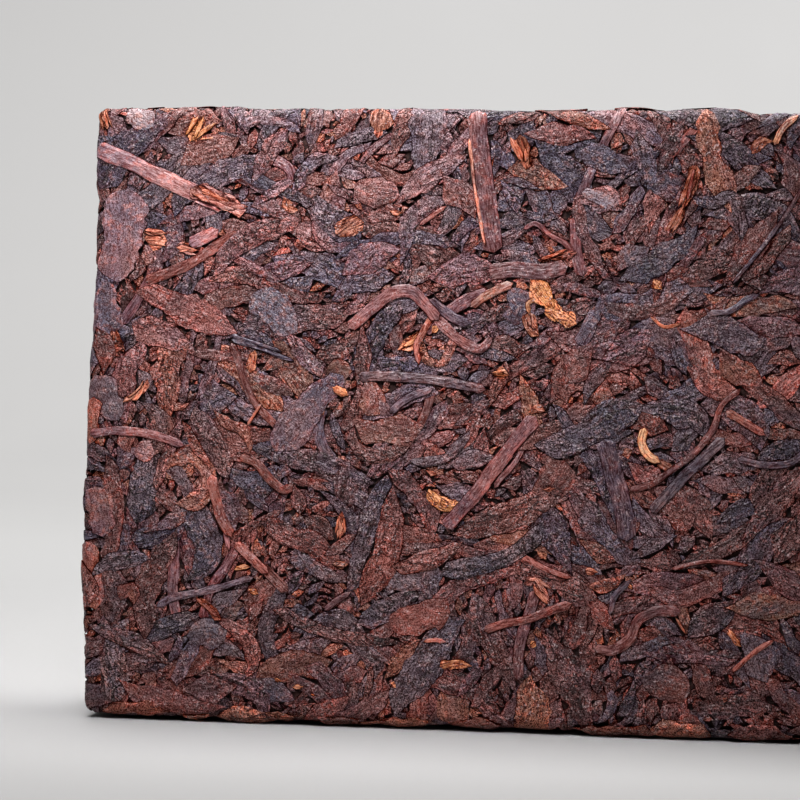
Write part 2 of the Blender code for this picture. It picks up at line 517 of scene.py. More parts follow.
def packed_places(sheets):
    """Where each piece's rectangle lies on the heap's map, in mm, and the map's side."""
    highs = np.array([around[-1] for around, _ in sheets]) + MAP_GAP
    longs = np.array([along[-1] + TIP_RUN for _, along in sheets]) + MAP_GAP
    side = 1.03 * math.sqrt(float((highs * longs).sum()))
    places = np.zeros((len(sheets), 2))
    x, y, shelf = 0.0, 0.0, 0.0
    for i in np.argsort(-highs, kind="stable"):
        if x > 0.0 and x + longs[i] > side:
            x, y, shelf = 0.0, y + shelf, 0.0
        places[i] = x, y
        x, shelf = x + longs[i], max(shelf, highs[i])
    return places, max(side, y + shelf)


def add_map(mesh, heap):
    """Unrolls each piece to a rectangle of its own, so that a pattern can be drawn on it."""
    places, side = packed_places(heap.sheets)
    for_quads, for_tips = [], []
    for (around, along), place in zip(heap.sheets, places):
        u, v = np.meshgrid(along, around, indexing="ij")
        grid = np.stack([u, v], axis=-1) + place + 0.5 * MAP_GAP
        corners = [grid[:-1, :-1], grid[:-1, 1:], grid[1:, 1:], grid[1:, :-1]]
        for_quads.append(np.stack(corners, axis=2).reshape(-1, 2))
        middles = 0.5 * (grid[:, 1:] + grid[:, :-1])
        lead = np.stack([grid[0, 1:], grid[0, :-1], middles[0] - (TIP_RUN, 0.0)], axis=1)
        trail = np.stack([grid[-1, :-1], grid[-1, 1:], middles[-1] + (TIP_RUN, 0.0)], axis=1)
        for_tips.append(np.concatenate([lead, trail]).reshape(-1, 2))
    layer = mesh.uv_layers.new(name="OFBake", do_init=False)
    spots = np.concatenate(for_quads + for_tips) / side
    layer.uv.foreach_set("vector", spots.astype(np.float32).ravel())


def build_heap(heap, material):
    quads = np.concatenate([quads for quads, _ in heap.faces])
    triangles = np.concatenate([triangles for _, triangles in heap.faces])
    points = np.concatenate(heap.points)
    points[:, 2] = np.maximum(points[:, 2], -CENTRE[2])
    mesh = new_mesh(heap.name, points, quads, triangles)
    add_map(mesh, heap)
    add_attribute(mesh, "tint", "FLOAT_COLOR", "color", np.concatenate(heap.tints))
    add_attribute(mesh, "lie", "FLOAT_VECTOR", "vector", np.concatenate(heap.lies))
    add_attribute(mesh, "rim", "FLOAT_VECTOR", "vector", np.concatenate(heap.rims))
    mesh.shade_smooth()
    mesh.set_sharp_from_angle(angle=math.radians(55.0))
    return add_piece(heap.name, mesh, material)


CORE_STEP = 1.4


def core_mesh(cover):
    """The pressed mass under the laid pieces: one closed skin that follows them below."""
    points, quads, start = [], [], 0
    for face, (axis, sign, a, b) in enumerate(cover.faces):
        ceiling = spread(cover.face_cells(face), 4, True)
        lines = [np.linspace(-HALF[i], HALF[i], int(2.0 * HALF[i] / CORE_STEP) + 1) for i in (a, b)]
        grid_a, grid_b = np.meshgrid(*lines, indexing="ij")
        boxed = np.zeros((*grid_a.shape, 3))
        boxed[..., a], boxed[..., b], boxed[..., axis] = grid_a, grid_b, sign * HALF[axis]
        inner = np.clip(boxed, ROUND - HALF, HALF - ROUND)
        out = boxed - inner
        out /= np.linalg.norm(out, axis=-1, keepdims=True)
        base = inner + ROUND * out
        rows = np.clip(((grid_a + HALF[a]) / CELL).astype(int), 0, cover.counts[a] - 1)
        columns = np.clip(((grid_b + HALF[b]) / CELL).astype(int), 0, cover.counts[b] - 1)
        height = np.clip(ceiling[rows, columns] - 0.2, -2.2, -0.45)
        margin = np.minimum(HALF[a] - np.abs(grid_a), HALF[b] - np.abs(grid_b))
        share = np.clip(margin / 1.5, 0.0, 1.0)
        height = height * share - 1.1 * (1.0 - share)
        points.append((base + out * height[..., None]).reshape(-1, 3))
        index = start + np.arange(grid_a.size).reshape(grid_a.shape)
        ring = np.stack([index[:-1, :-1], index[1:, :-1], index[1:, 1:], index[:-1, 1:]], axis=-1)
        turn = np.zeros(3)
        turn[a] = 1.0
        other = np.zeros(3)
        other[b] = 1.0
        outward = np.cross(turn, other)[axis] * sign > 0
        quads.append((ring if outward else ring[..., ::-1]).reshape(-1, 4))
        start += grid_a.size
    points, quads = np.concatenate(points), np.concatenate(quads)
    _, first, index = np.unique(np.round(points, 3), axis=0, return_index=True, return_inverse=True)
    points = points[first]
    points[:, 2] = np.maximum(points[:, 2], -CENTRE[2])
    return new_mesh("brick_core", points, index.reshape(-1)[quads], np.zeros((0, 3), int))


# ---------------------------------------------------------------- materials


class Nodes:
    """A material's node tree, with short calls to add nodes and join them."""

    def __init__(self, name):
        self.material = bpy.data.materials.new(name)
        self.material.use_nodes = True
        self.tree = self.material.node_tree
        self.shader = self.tree.nodes["Principled BSDF"]

    def put(self, socket, value):
        if isinstance(value, bpy.types.NodeSocket):
            self.tree.links.new(value, socket)
        else:
            socket.default_value = value

    def add(self, kind, output=0, settings=(), **inputs):
        node = self.tree.nodes.new(kind)
        for name, value in dict(settings).items():
            setattr(node, name, value)
        for name, value in inputs.items():
            key = int(name[1:]) if name[0] == "i" and name[1:].isdigit() else name.replace("_", " ")
            self.put(node.inputs[key], value)
        return node.outputs[output]

    def attribute(self, name, output):
        return self.add("ShaderNodeAttribute", output, {"attribute_name": name})

    def noise(self, vector, scale, detail=3.0, roughness=0.55, distortion=0.0):
        shape = {"Scale": scale, "Detail": detail, "Roughness": roughness, "Distortion": distortion}
        return self.add("ShaderNodeTexNoise", 0, Vector=vector, **shape)

    def ramp(self, value, low, high, to_low, to_high):
        return self.add(
            "ShaderNodeMapRange", 0, i0=value, i1=low, i2=high, i3=to_low, i4=to_high
        )

    def cells(self, vector, feature, output=0):
        """A cell pattern: the distance to the nearest border, or each cell's own colour."""
        return self.add("ShaderNodeTexVoronoi", output, {"feature": feature}, Vector=vector, Scale=1.0)

    def math(self, operation, first, second):
        return self.add("ShaderNodeMath", 0, {"operation": operation}, i0=first, i1=second)

    def mix(self, share, first, second, blend="MIX"):
        settings = {"data_type": "RGBA", "blend_type": blend}
        return self.add("ShaderNodeMix", 2, settings, i0=share, i6=first, i7=second)

    def stretch(self, vector, scale):
        settings = {"operation": "MULTIPLY"}
        return self.add("ShaderNodeVectorMath", 0, settings, i0=vector, i1=scale)


def tea_material(name, striation, redness, roughness, relief_depth, fibrous, regional):
    """Dry pressed leaf: the piece's own colour under a coarse dark and pale grain, stripes
    that run along it, folds with painted shade in the creases between them, rusty and slaty
    patches, a painted highlight on the brightest grain, painted glints, and painted shade in
    the hollows under its neighbours and along its firm edges."""
    nodes = Nodes(name)
    place = nodes.add("ShaderNodeTexCoord", 3)
    lie = nodes.attribute("lie", 1)
    tint = nodes.attribute("tint", 0)
    folding = nodes.attribute("tint", 3)
    rim = nodes.attribute("rim", 1)
    inset, firm, dip = (nodes.add("ShaderNodeSeparateXYZ", i, Vector=rim) for i in range(3))
    stripes = nodes.noise(nodes.stretch(lie, (0.5, 3.6, 3.1)), 1.0, 4.0, 0.6)
    fibres = nodes.noise(nodes.stretch(lie, (0.9, 4.8, 5.3)), 1.0, 1.0, 0.65)
    speckle = nodes.noise(place, 6000.0, 1.0, 0.6)
    grain = nodes.mix(fibrous, speckle, fibres)
    warp = nodes.add("ShaderNodeTexNoise", 1, Vector=place, Scale=650.0, Detail=1.0)
    bent = nodes.stretch(lie, (0.36, 0.80, 1.7))
    bent = nodes.add("ShaderNodeVectorMath", 0, {"operation": "ADD"}, i0=bent, i1=nodes.stretch(warp, (0.9, 1.1, 0.9)))
    border = nodes.cells(bent, "DISTANCE_TO_EDGE")
    facet = nodes.cells(bent, "F1", 1)
    mottle = nodes.noise(place, 1300.0, 2.0, 0.5)
    # Painted shade: a thin dark line along the firm edges, and the dips under neighbours.
    line = nodes.math("MULTIPLY", nodes.ramp(inset, 0.07, 0.14, 1.0, 0.0), nodes.ramp(firm, 0.30, 0.60, 0.0, 1.0))
    painted_shade = nodes.math("MAXIMUM", line, nodes.math("MULTIPLY", dip, 0.7))
    patches = nodes.noise(place, 420.0, 2.0, 0.5)
    regions = nodes.noise(place, 120.0, 2.0, 0.5)
    folds = nodes.noise(nodes.stretch(lie, (0.16, 0.34, 2.3)), 1.0, 1.5, 0.45, 0.9)
    levels = nodes.math("FRACT", nodes.math("MULTIPLY", folds, 5.0), 0.0)
    apart = nodes.math("MULTIPLY", nodes.math("ABSOLUTE", nodes.math("SUBTRACT", levels, 0.5), 0.0), 2.0)
    folded = nodes.math("MULTIPLY", nodes.ramp(patches, 0.36, 0.50, 0.2, 1.0), folding)
    # Painted shade in the creases: along facet splits, between folds and along vein lines, where the leaf is folded.
    split = nodes.math("MULTIPLY", nodes.ramp(border, 0.03, 0.08, 1.0, 0.0), nodes.ramp(mottle, 0.46, 0.54, 0.0, 1.0))
    veins = nodes.noise(place, 720.0, 1.5, 0.5, 1.2)
    beside = nodes.math("ABSOLUTE", nodes.math("SUBTRACT", veins, 0.5), 0.0)
    crease = nodes.math("MAXIMUM", nodes.ramp(apart, 0.07, 0.24, 1.0, 0.0), split)
    vein = nodes.math("MULTIPLY", nodes.ramp(beside, 0.005, 0.019, 1.0, 0.0), nodes.ramp(regions, 0.42, 0.54, 1.0, 0.15))
    crease = nodes.math("MAXIMUM", crease, vein)
    crease = nodes.math("MULTIPLY", crease, folded)
    swell = nodes.math("ADD", nodes.math("POWER", apart, 0.45), nodes.math("POWER", nodes.ramp(beside, 0.0, 0.12, 0.0, 0.7), 0.5))
    swell = nodes.math("MULTIPLY", swell, folded)
    value = nodes.ramp(stripes, 0.3, 0.7, 1.0 - striation, 1.0 + striation)
    coarse = nodes.ramp(grain, 0.40, 0.60, 0.14, 1.86)
    coarse = nodes.math("SUBTRACT", coarse, 1.0)
    coarse = nodes.math("MULTIPLY", coarse, nodes.ramp(folding, 0.0, 1.0, 0.45, 1.1))
    coarse = nodes.math("ADD", coarse, 1.0)
    facets = nodes.math("MULTIPLY", nodes.math("SUBTRACT", facet, 0.5), nodes.ramp(folding, 0.0, 1.0, 0.1, 0.5))
    coarse = nodes.math("MULTIPLY", coarse, nodes.math("ADD", facets, 1.0))
    value = nodes.math("MULTIPLY", value, coarse)
    value = nodes.math("MULTIPLY", value, nodes.ramp(mottle, 0.3, 0.7, 0.86, 1.14))
    value = nodes.math("MULTIPLY", value, nodes.ramp(patches, 0.35, 0.65, 0.77, 1.23))
    value = nodes.math("MULTIPLY", value, nodes.ramp(regions, 0.35, 0.65, 1.20, 0.80))
    # Painted shade in the hollows along edges and under neighbours.
    value = nodes.math("MULTIPLY", value, nodes.ramp(painted_shade, 0.2, 1.0, 1.0, 0.09))
    # Painted shade in the creases.
    value = nodes.math("MULTIPLY", value, nodes.ramp(crease, 0.0, 1.0, 1.0, 0.12))
    warm = nodes.mix(1.0, tint, (1.14, 0.90, 0.82, 1.0), "MULTIPLY")
    cool = nodes.mix(1.0, tint, (0.75, 0.95, 1.20, 1.0), "MULTIPLY")
    colour = nodes.mix(nodes.ramp(regions, 0.38, 0.62, 0.0, regional), warm, cool)
    rusty = nodes.mix(1.0, tint, (1.70, 0.82, 0.56, 1.0), "MULTIPLY")
    share = nodes.math("MULTIPLY", nodes.ramp(mottle, 0.46, 0.62, 0.0, redness), nodes.ramp(patches, 0.4, 0.6, 0.2, 1.0))
    colour = nodes.mix(share, colour, rusty)
    colour = nodes.mix(1.0, colour, value, "MULTIPLY")
    # Painted highlight: the brightest grain turns pale pinkish grey.
    colour = nodes.mix(nodes.ramp(value, 0.9, 2.2, 0.0, 0.40), colour, (0.265, 0.186, 0.188, 1.0))
    # The darkest parts, the painted shade in creases and hollows among them, turn redder.
    deep = nodes.mix(1.0, colour, (1.05, 0.42, 0.38, 1.0), "MULTIPLY")
    colour = nodes.mix(nodes.ramp(value, 0.1, 1.0, 1.0, 0.0), colour, deep)
    # Painted glints: small pale pinkish-grey specks, kept out of the painted shade.
    glint_noise = nodes.noise(place, 3700.0, 0.0, 0.5)
    painted_glints = nodes.math("MULTIPLY", nodes.ramp(glint_noise, 0.66, 0.80, 0.0, 0.6), nodes.ramp(patches, 0.4, 0.6, 0.2, 1.0))
    painted_glints = nodes.math("MULTIPLY", painted_glints, nodes.ramp(painted_shade, 0.1, 0.4, 1.0, 0.0))
    colour = nodes.mix(painted_glints, colour, (0.52, 0.40, 0.40, 1.0))
    nodes.put(nodes.shader.inputs["Base Color"], colour)
    rough = nodes.ramp(grain, 0.4, 0.6, roughness + 0.10, roughness - 0.10)
    nodes.put(nodes.shader.inputs["Roughness"], rough)
    sheen = nodes.math("MULTIPLY", nodes.ramp(grain, 0.38, 0.62, 0.05, 0.58), nodes.ramp(painted_shade, 0.0, 0.6, 1.0, 0.0))
    nodes.put(nodes.shader.inputs["Specular IOR Level"], sheen)
    height = nodes.math("ADD", nodes.math("MULTIPLY", stripes, 0.6), nodes.math("MULTIPLY", grain, 0.35))
    height = nodes.math("ADD", height, nodes.math("MULTIPLY", mottle, 0.3))
    height = nodes.math("ADD", height, nodes.math("MULTIPLY", swell, 0.9))
    bump = nodes.add("ShaderNodeBump", 0, Strength=0.9, Distance=relief_depth, Height=height)
    nodes.put(nodes.shader.inputs["Normal"], bump)
    return nodes.material


def core_material():
    nodes = Nodes("brick_core")
    place = nodes.add("ShaderNodeTexCoord", 3)
    crumb = nodes.noise(place, 1500.0, 4.0, 0.6)
    colour = nodes.mix(
        nodes.ramp(crumb, 0.4, 0.65, 0.0, 1.0), (0.008, 0.004, 0.004, 1.0), (0.045, 0.020, 0.017, 1.0)
    )
    nodes.put(nodes.shader.inputs["Base Color"], colour)
    nodes.put(nodes.shader.inputs["Roughness"], nodes.ramp(crumb, 0.3, 0.7, 0.6, 0.85))
    nodes.shader.inputs["Specular IOR Level"].default_value = 0.12
    bump = nodes.add("ShaderNodeBump", 0, Strength=0.9, Distance=0.0004, Height=crumb)
    nodes.put(nodes.shader.inputs["Normal"], bump)
    return nodes.material


# ---------------------------------------------------------------- floor, light and camera


def add_floor():
    """A pale sheet that lies flat under the brick and curves up behind it."""
    reach, back, curve, top = 1.6, 0.55, 0.35, 1.5
    line = [(-1.2, 0.0), (back, 0.0)]
    for i in range(1, 13):
        turn = 0.5 * math.pi * i / 12
        line.append((back + curve * math.sin(turn), curve - curve * math.cos(turn)))
    line.append((back + curve, top))
    points = [(side * reach, y, z) for y, z in line for side in (-1.0, 1.0)]
    faces = [(2 * i, 2 * i + 1, 2 * i + 3, 2 * i + 2) for i in range(len(line) - 1)]
    mesh = bpy.data.meshes.new("floor")
    mesh.from_pydata(points, [], faces)
    mesh.shade_smooth()
    nodes = Nodes("floor")
    place = nodes.add("ShaderNodeTexCoord", 3)
    cloud = nodes.noise(place, 7.0, 3.0, 0.5)
    colour = nodes.mix(cloud, (0.25, 0.247, 0.245, 1.0), (0.285, 0.281, 0.278, 1.0))
    nodes.put(nodes.shader.inputs["Base Color"], colour)
    nodes.put(nodes.shader.inputs["Roughness"], nodes.ramp(cloud, 0.3, 0.7, 0.7, 0.9))
    mesh.materials.append(nodes.material)
    floor = bpy.data.objects.new("floor", mesh)
    bpy.context.scene.collection.objects.link(floor)


def aim(thing, place, target, roll=0.0):
    turn = (Vector(target) - Vector(place)).to_track_quat("-Z", "Y").to_matrix().to_4x4()
    thing.matrix_world = Matrix.Translation(Vector(place)) @ turn @ Matrix.Rotation(roll, 4, "Z")


def add_area_light(name, place, target, size, power, colour):
    light = bpy.data.lights.new(name, "AREA")
    light.shape = "SQUARE"
    light.size = size
    light.energy = power
    light.color = colour
    lamp = bpy.data.objects.new(name, light)
    bpy.context.scene.collection.objects.link(lamp)
    aim(lamp, place, target)
    return light


def add_lights():
    middle = (-0.02, 0.0, 0.05)
    key = add_area_light("key_light", (-0.046, -0.135, 0.196), (-0.033, 0.0, 0.070), 0.07, 0.105, (0.98, 0.97, 1.00))
    key.spread = math.radians(62.0)
    add_area_light("fill_light", (0.10, -0.80, 0.60), middle, 0.60, 0.14, (1.0, 0.91, 0.88))
    add_area_light("backdrop_light", (0.0, 0.20, 1.10), (0.0, 0.80, 0.25), 0.80, 36.0, (1.0, 1.0, 1.0))
    world = bpy.data.worlds.new("studio")
    bpy.context.scene.world = world
    world.use_nodes = True
    background = world.node_tree.nodes["Background"]
    background.inputs["Color"].default_value = (0.84, 0.82, 0.82, 1.0)
    background.inputs["Strength"].default_value = 0.06


def add_camera():
    """The photograph's view, fitted to the brick's outline in it."""
    lens, distance = 125.0, 0.400
    yaw, pitch, roll = math.radians(-7.7), math.radians(0.7), math.radians(1.16)
    target = Vector((-0.0239, -0.012, 0.0476))
    forward = Vector((math.sin(yaw) * math.cos(pitch), math.cos(yaw) * math.cos(pitch), -math.sin(pitch)))
    data = bpy.data.cameras.new("camera")
    data.lens = lens
    data.sensor_width = 36.0
    data.clip_start = 0.01
    camera = bpy.data.objects.new("camera", data)
    bpy.context.scene.collection.objects.link(camera)
    place = target - forward * distance
    aim(camera, place, target, roll)
    bpy.context.scene.camera = camera


# ---------------------------------------------------------------- pieces that the photo shows

INK = (0.049, 0.037, 0.053)
SLATE = (0.076, 0.060, 0.080)
MAUVE = (0.112, 0.052, 0.058)
UMBER = (0.096, 0.037, 0.031)
RUST = (0.138, 0.042, 0.030)
ROSE = (0.185, 0.070, 0.060)
BLUSH = (0.178, 0.098, 0.106)
STEEL = (0.125, 0.094, 0.110)
TAN = (0.190, 0.086, 0.052)
ORANGE = (0.255, 0.092, 0.044)
GOLD = (0.490, 0.240, 0.085)
PINK = (0.250, 0.132, 0.130)
PEACH = (0.400, 0.180, 0.115)
PALE = (0.240, 0.190, 0.205)
BUFF = (0.600, 0.350, 0.190)
CREAM = (0.430, 0.225, 0.150)

# The front's larger pieces, from the top of the pile down. Each has its style, two colours,
# its width, how far it stands up, and its path in mm from the front's lower left corner.
HEROES = [
    # flakes that stick out along the top edge
    ("flake", UMBER, RUST, 1.6, 0.15, [(7.6, 90.9), (8.8, 91.3), (10.0, 91.0)]),
    ("flake", MAUVE, RUST, 1.8, 0.20, [(50.6, 90.9), (52.2, 91.3), (53.4, 91.0)]),
    ("flat", RUST, ROSE, 2.2, 0.45, [(65.0, 90.7), (68, 91.2), (72.0, 90.8)]),
    ("twisted", RUST, ROSE, 1.6, 0.30, [(76, 90.9), (79, 91.4), (83, 91)]),
    ("flake", MAUVE, UMBER, 2.0, 0.35, [(85.6, 90.8), (88, 91.3), (90.4, 90.9)]),
    # paler flakes along the bottom edge
    ("flake", TAN, PEACH, 1.8, 0.6, [(15.0, 1.0), (17.0, 0.6), (18.8, 1.0)]),
    ("flat", PEACH, TAN, 3.0, 0.9, [(20.2, 1.2), (24.0, 0.9), (29.0, 1.2)]),
    ("flake", RUST, ORANGE, 2.0, 0.7, [(35.0, 1.2), (38.0, 0.7), (41.0, 1.3)]),
    ("flake", TAN, PEACH, 2.0, 0.6, [(44.0, 1.2), (47.5, 0.9), (51.0, 1.2)]),
    ("flake", RUST, TAN, 2.2, 0.8, [(54.0, 1.3), (57.5, 0.8), (61.5, 1.2)]),
    ("flat", TAN, PEACH, 3.4, 1.0, [(83.0, 1.4), (87.0, 1.4), (91.5, 0.8)]),
    ("flat", UMBER, ORANGE, 2.4, 0.9, [(73.0, 1.2), (77.0, 0.8), (83.5, 0.9)]),
    ("flake", RUST, MAUVE, 2.4, 0.7, [(94.0, 1.2), (98.0, 1.6), (102.0, 1.1)]),
    # reddish lumps on the left edge
    ("flat", RUST, UMBER, 3.6, 0.5, [(1.2, 57.2), (2.6, 54.0), (2.2, 50.4)]),
    ("flat", RUST, UMBER, 3.0, 0.5, [(0.2, 23.0), (1.0, 19.6), (0.6, 15.8)]),
    # stems and twigs
    ("frayed", PINK, ORANGE, 2.6, 0.40, [(14.6, 77.6), (17.6, 76.4), (20.6, 75.2), (23.0, 74.6)]),
    ("stem", PINK, BLUSH, 2.5, 0.25, [(0.6, 83.5), (5, 81.7), (10, 79.4), (15.5, 77.1), (20.0, 75.2)]),
    ("stem", PINK, BLUSH, 1.8, 0.25, [(14.6, 69.6), (16.4, 70.4), (18.9, 71.8)]),
    ("frayed", PINK, PEACH, 1.7, 0.12, [(12.6, 69.2), (14.2, 69.0), (15.9, 68.7)]),
    ("twig", CREAM, ORANGE, 0.50, 0.70, [(55.3, 85.2), (55.9, 81), (56.5, 77), (57.3, 73), (58, 70)]),
    ("stem", MAUVE, RUST, 2.8, 0.30, [(56.3, 89.3), (56.9, 84), (57.6, 79), (58.4, 74), (59.2, 69)]),
    ("stem", MAUVE, UMBER, 2.3, 0.00, [(58.5, 66.2), (62, 66.7), (66, 66.4), (69.8, 67.2)]),
    ("frayed", RUST, ORANGE, 1.0, 0.22, [(65.5, 68.0), (68, 68.5), (71, 69.2)]),
    ("twig", MAUVE, ROSE, 0.8, 0.25, [(63.4, 72.4), (64.9, 73.2), (67, 71.8), (69.5, 70.4), (70.6, 69)]),
    ("stem", MAUVE, ROSE, 1.8, 0.34, [(38.4, 57.8), (42, 60.9), (45, 63.1), (47.4, 63.2), (49.4, 61.5), (51.4, 59.2)]),
    ("twig", MAUVE, RUST, 1.5, 0.34, [(50.9, 59.8), (52.8, 57.8), (55.2, 56.0), (57.4, 55.2), (59.3, 56.9)]),
    ("stem", SLATE, INK, 1.5, 0.20, [(50, 62.2), (51.6, 60.9), (53.6, 59.6), (56.0, 58.8)]),
    ("twig", ROSE, TAN, 1.0, 0.22, [(50.7, 60.2), (49.4, 57.8), (48.3, 55.6), (48.7, 52.8)]),
    ("frayed", CREAM, GOLD, 1.5, 0.22, [(45.6, 54.8), (47.2, 55.8), (48.7, 57.8)]),
    ("stem", SLATE, UMBER, 1.5, 0.22, [(40, 50.9), (45, 51.0), (50, 50.7), (54, 50.1), (58.4, 49.3)]),
    ("stem", SLATE, INK, 1.2, 0.12, [(44.6, 45.8), (47.3, 48.0), (50.8, 49.3)]),
    ("stem", MAUVE, ROSE, 2.2, 0.26, [(53.0, 29.4), (56.6, 33.6), (60, 38.3), (63, 42.3), (65.8, 45.6)]),
    ("stem", MAUVE, ROSE, 1.3, 0.22, [(0.8, 41.7), (4, 42.2), (8, 42.0), (11.2, 41.3), (14.3, 40.3)]),
    ("twisted", RUST, TAN, 1.6, 0.18, [(18.8, 45.4), (20.8, 43.6), (22.9, 42.9), (23.9, 41), (24.2, 39.4)]),
    ("stem", RUST, TAN, 1.4, 0.26, [(22.7, 38.9), (25, 38.0), (27.2, 35.7), (29.5, 34.2), (30.6, 35)]),
    ("stem", RUST, ROSE, 1.6, 0.20, [(18.5, 36), (19.2, 33), (20.1, 30), (21.8, 27.2)]),
    ("stem", ROSE, PINK, 1.4, 0.30, [(22.3, 26.4), (24.5, 24.3), (27.2, 22)]),
    ("stem", UMBER, ROSE, 1.6, 0.20, [(26, 23.2), (28.2, 21.2), (30.2, 19.4)]),
    ("twig", BLUSH, MAUVE, 0.9, 0.16, [(20.6, 29), (21, 27), (21.4, 25.2)]),
    ("twig", SLATE, INK, 1.1, 0.24, [(10.9, 16.7), (12.6, 17.8), (16, 18.7), (20, 19.8), (25, 21.4)]),
    ("frayed", ORANGE, RUST, 1.3, 0.20, [(16.7, 18), (18.4, 16.7), (20.4, 15)]),
    ("rolled", RUST, ROSE, 2.4, 0.12, [(19.6, 15.6), (22.6, 13.8), (24.9, 11.4), (25.3, 8.8), (24.2, 6.6)]),
    ("stem", RUST, ROSE, 1.3, 0.26, [(58.9, 14.7), (62, 15.9), (66, 16.8), (68.6, 18), (71.4, 19)]),
    ("stem", UMBER, MAUVE, 1.6, 0.24, [(74.8, 12.7), (77.6, 12.6), (79.9, 14.3), (81, 16.9), (83.2, 18.2), (87, 18.4)]),
    ("twig", UMBER, MAUVE, 1.0, 0.30, [(79.3, 35.5), (82.6, 36.5), (85.6, 38.7), (89, 41.6), (91, 44.6), (92, 47.6), (94.7, 50.2)]),
    ("stem", INK, SLATE, 1.6, 0.22, [(82.5, 32.4), (86.4, 36.9), (90, 40.5), (92.6, 43.2)]),
    ("stem", ROSE, ORANGE, 1.2, 0.18, [(92.8, 47.0), (95.5, 45.4), (98.3, 43.8)]),
    ("stem", SLATE, INK, 1.2, 0.18, [(94.5, 40.3), (98, 39.6), (101.5, 39.8), (104.5, 41.8)]),
    ("stem", INK, UMBER, 2.8, 0.18, [(75.6, 42.6), (77, 37.5), (78.7, 31.8), (79.2, 28.2)]),
    ("stem", BUFF, GOLD, 1.3, 0.24, [(81.3, 44.4), (80.9, 42.4), (81.8, 40.5), (83.6, 39.5)]),
    ("stem", TAN, RUST, 1.3, 0.14, [(83.2, 39.8), (84.2, 39.1), (85.6, 38.6)]),
    ("stem", INK, SLATE, 0.6, 0.24, [(21.1, 56.5), (25, 55.4), (28.5, 54.3)]),
    ("stem", INK, SLATE, 0.7, 0.18, [(21.2, 55.9), (25.5, 54.6), (30.4, 52.9)]),
    ("twig", INK, SLATE, 0.8, 0.18, [(76.9, 17.6), (77.4, 20), (79.8, 22.7)]),
    ("twig", SLATE, INK, 0.9, 0.18, [(90, 60.9), (93, 61.2), (95.2, 62.8), (97, 63.7)]),
    ("twig", ORANGE, TAN, 0.5, 0.16, [(81.8, 60.3), (83.8, 58.8), (86, 59.3)]),
    ("twig", ROSE, RUST, 0.7, 0.20, [(94.4, 10), (96.8, 12.4), (100.2, 14.8)]),
    ("stem", TAN, ROSE, 1.3, 0.14, [(56, 61.2), (58.5, 63), (62, 64.7)]),
    ("stem", CREAM, GOLD, 1.0, 0.20, [(98.7, 84.8), (100, 87.3), (102, 89)]),
    ("twig", ROSE, BLUSH, 0.7, 0.14, [(48.4, 72.8), (50.2, 74.3), (52.2, 75.6)]),
    ("twig", TAN, RUST, 0.5, 0.12, [(23.7, 43.4), (24.9, 45.2), (25.8, 46.6)]),
    ("twig", ROSE, ORANGE, 0.7, 0.10, [(50.2, 12.8), (51.6, 13.1), (53.4, 12.9)]),
    ("twig", ORANGE, CREAM, 0.4, 0.12, [(86.3, 17.4), (87, 16.4), (87.8, 15.2)]),
    ("twig", RUST, ROSE, 0.6, 0.18, [(85.6, 24.4), (90.6, 25.6), (96.4, 25.2)]),
    ("stem", MAUVE, ROSE, 1.0, 0.14, [(35.6, 16.9), (37.4, 18.4), (39.4, 19.7)]),
    # A pale piece: partly the leaf's own pale scuffed colour, partly a painted highlight on it.
    ("smooth", PALE, STEEL, 1.8, 0.15, [(71.6, 77.8), (74.0, 77.0), (76.4, 75.9)]),
    ("smooth", PALE, STEEL, 2.8, 0.10, [(5.0, 89.0), (7.0, 88.0), (8.9, 86.6)]),
    # Painted shadow: a thin dark strip laid along the right edge of the big leaf there, where a shadow line runs.
    ("twig", INK, UMBER, 0.7, 0.02, [(102.8, 78.8), (98.7, 72.2), (93.4, 65.2)]),
    # golden and orange bits
    ("tip", GOLD, CREAM, 3.0, 0.26, [(64.6, 65.6), (66.3, 63.2), (68.0, 61.2)]),
    ("tip", GOLD, CREAM, 2.3, 0.26, [(66.8, 62.2), (68.8, 60.4), (71.2, 59)]),
    ("twig", TAN, GOLD, 0.7, 0.20, [(65.8, 62.6), (64.2, 61.9), (64.5, 60.2)]),
    ("tip", TAN, GOLD, 1.7, 0.20, [(64.4, 60.6), (64.6, 58.6), (65.9, 57.2)]),
    ("seed", GOLD, CREAM, 1.3, 0.35, [(36.2, 49.2), (37.3, 48.7), (38.4, 48.1)]),
    ("tip", TAN, ORANGE, 3.4, 0.00, [(42.4, 89.8), (42.3, 88.2), (42.0, 86.2)]),
    ("tip", ORANGE, RUST, 1.8, 0.05, [(42.4, 87.0), (42.0, 85.2)]),
    ("frayed", TAN, GOLD, 2.8, 0.12, [(14.4, 84.6), (15.4, 86.4), (16.4, 88.2)]),
    ("tip", CREAM, ORANGE, 0.5, 0.20, [(15.6, 85.0), (17.8, 85.1)]),
    ("frayed", PEACH, CREAM, 3.0, 0.16, [(7.9, 70.4), (9.4, 70.3), (11.3, 70.1)]),
    ("flake", BLUSH, TAN, 2.2, 0.08, [(7.9, 69.4), (8.6, 68.0), (8.4, 66.4)]),
    ("frayed", TAN, ORANGE, 2.4, 0.02, [(0.4, 89.6), (1.4, 88.0), (2.1, 86.2)]),
    ("frayed", TAN, CREAM, 1.2, 0.24, [(5.3, 46.4), (6.8, 47.2), (8.1, 48.4), (8.8, 49.8)]),
    ("frayed", RUST, ORANGE, 2.8, 0.10, [(2.6, 52.0), (3.4, 54.4), (4.9, 54.9)]),
    ("frayed", RUST, ORANGE, 2.0, 0.06, [(3.2, 56.8), (4.0, 55.0), (5.2, 53.8)]),
    ("tip", ORANGE, GOLD, 1.9, 0.08, [(24.6, 54.3), (24.4, 52.6), (24.0, 51.0)]),
    ("tip", GOLD, CREAM, 0.9, 0.16, [(50.5, 57.3), (51.3, 58.4)]),
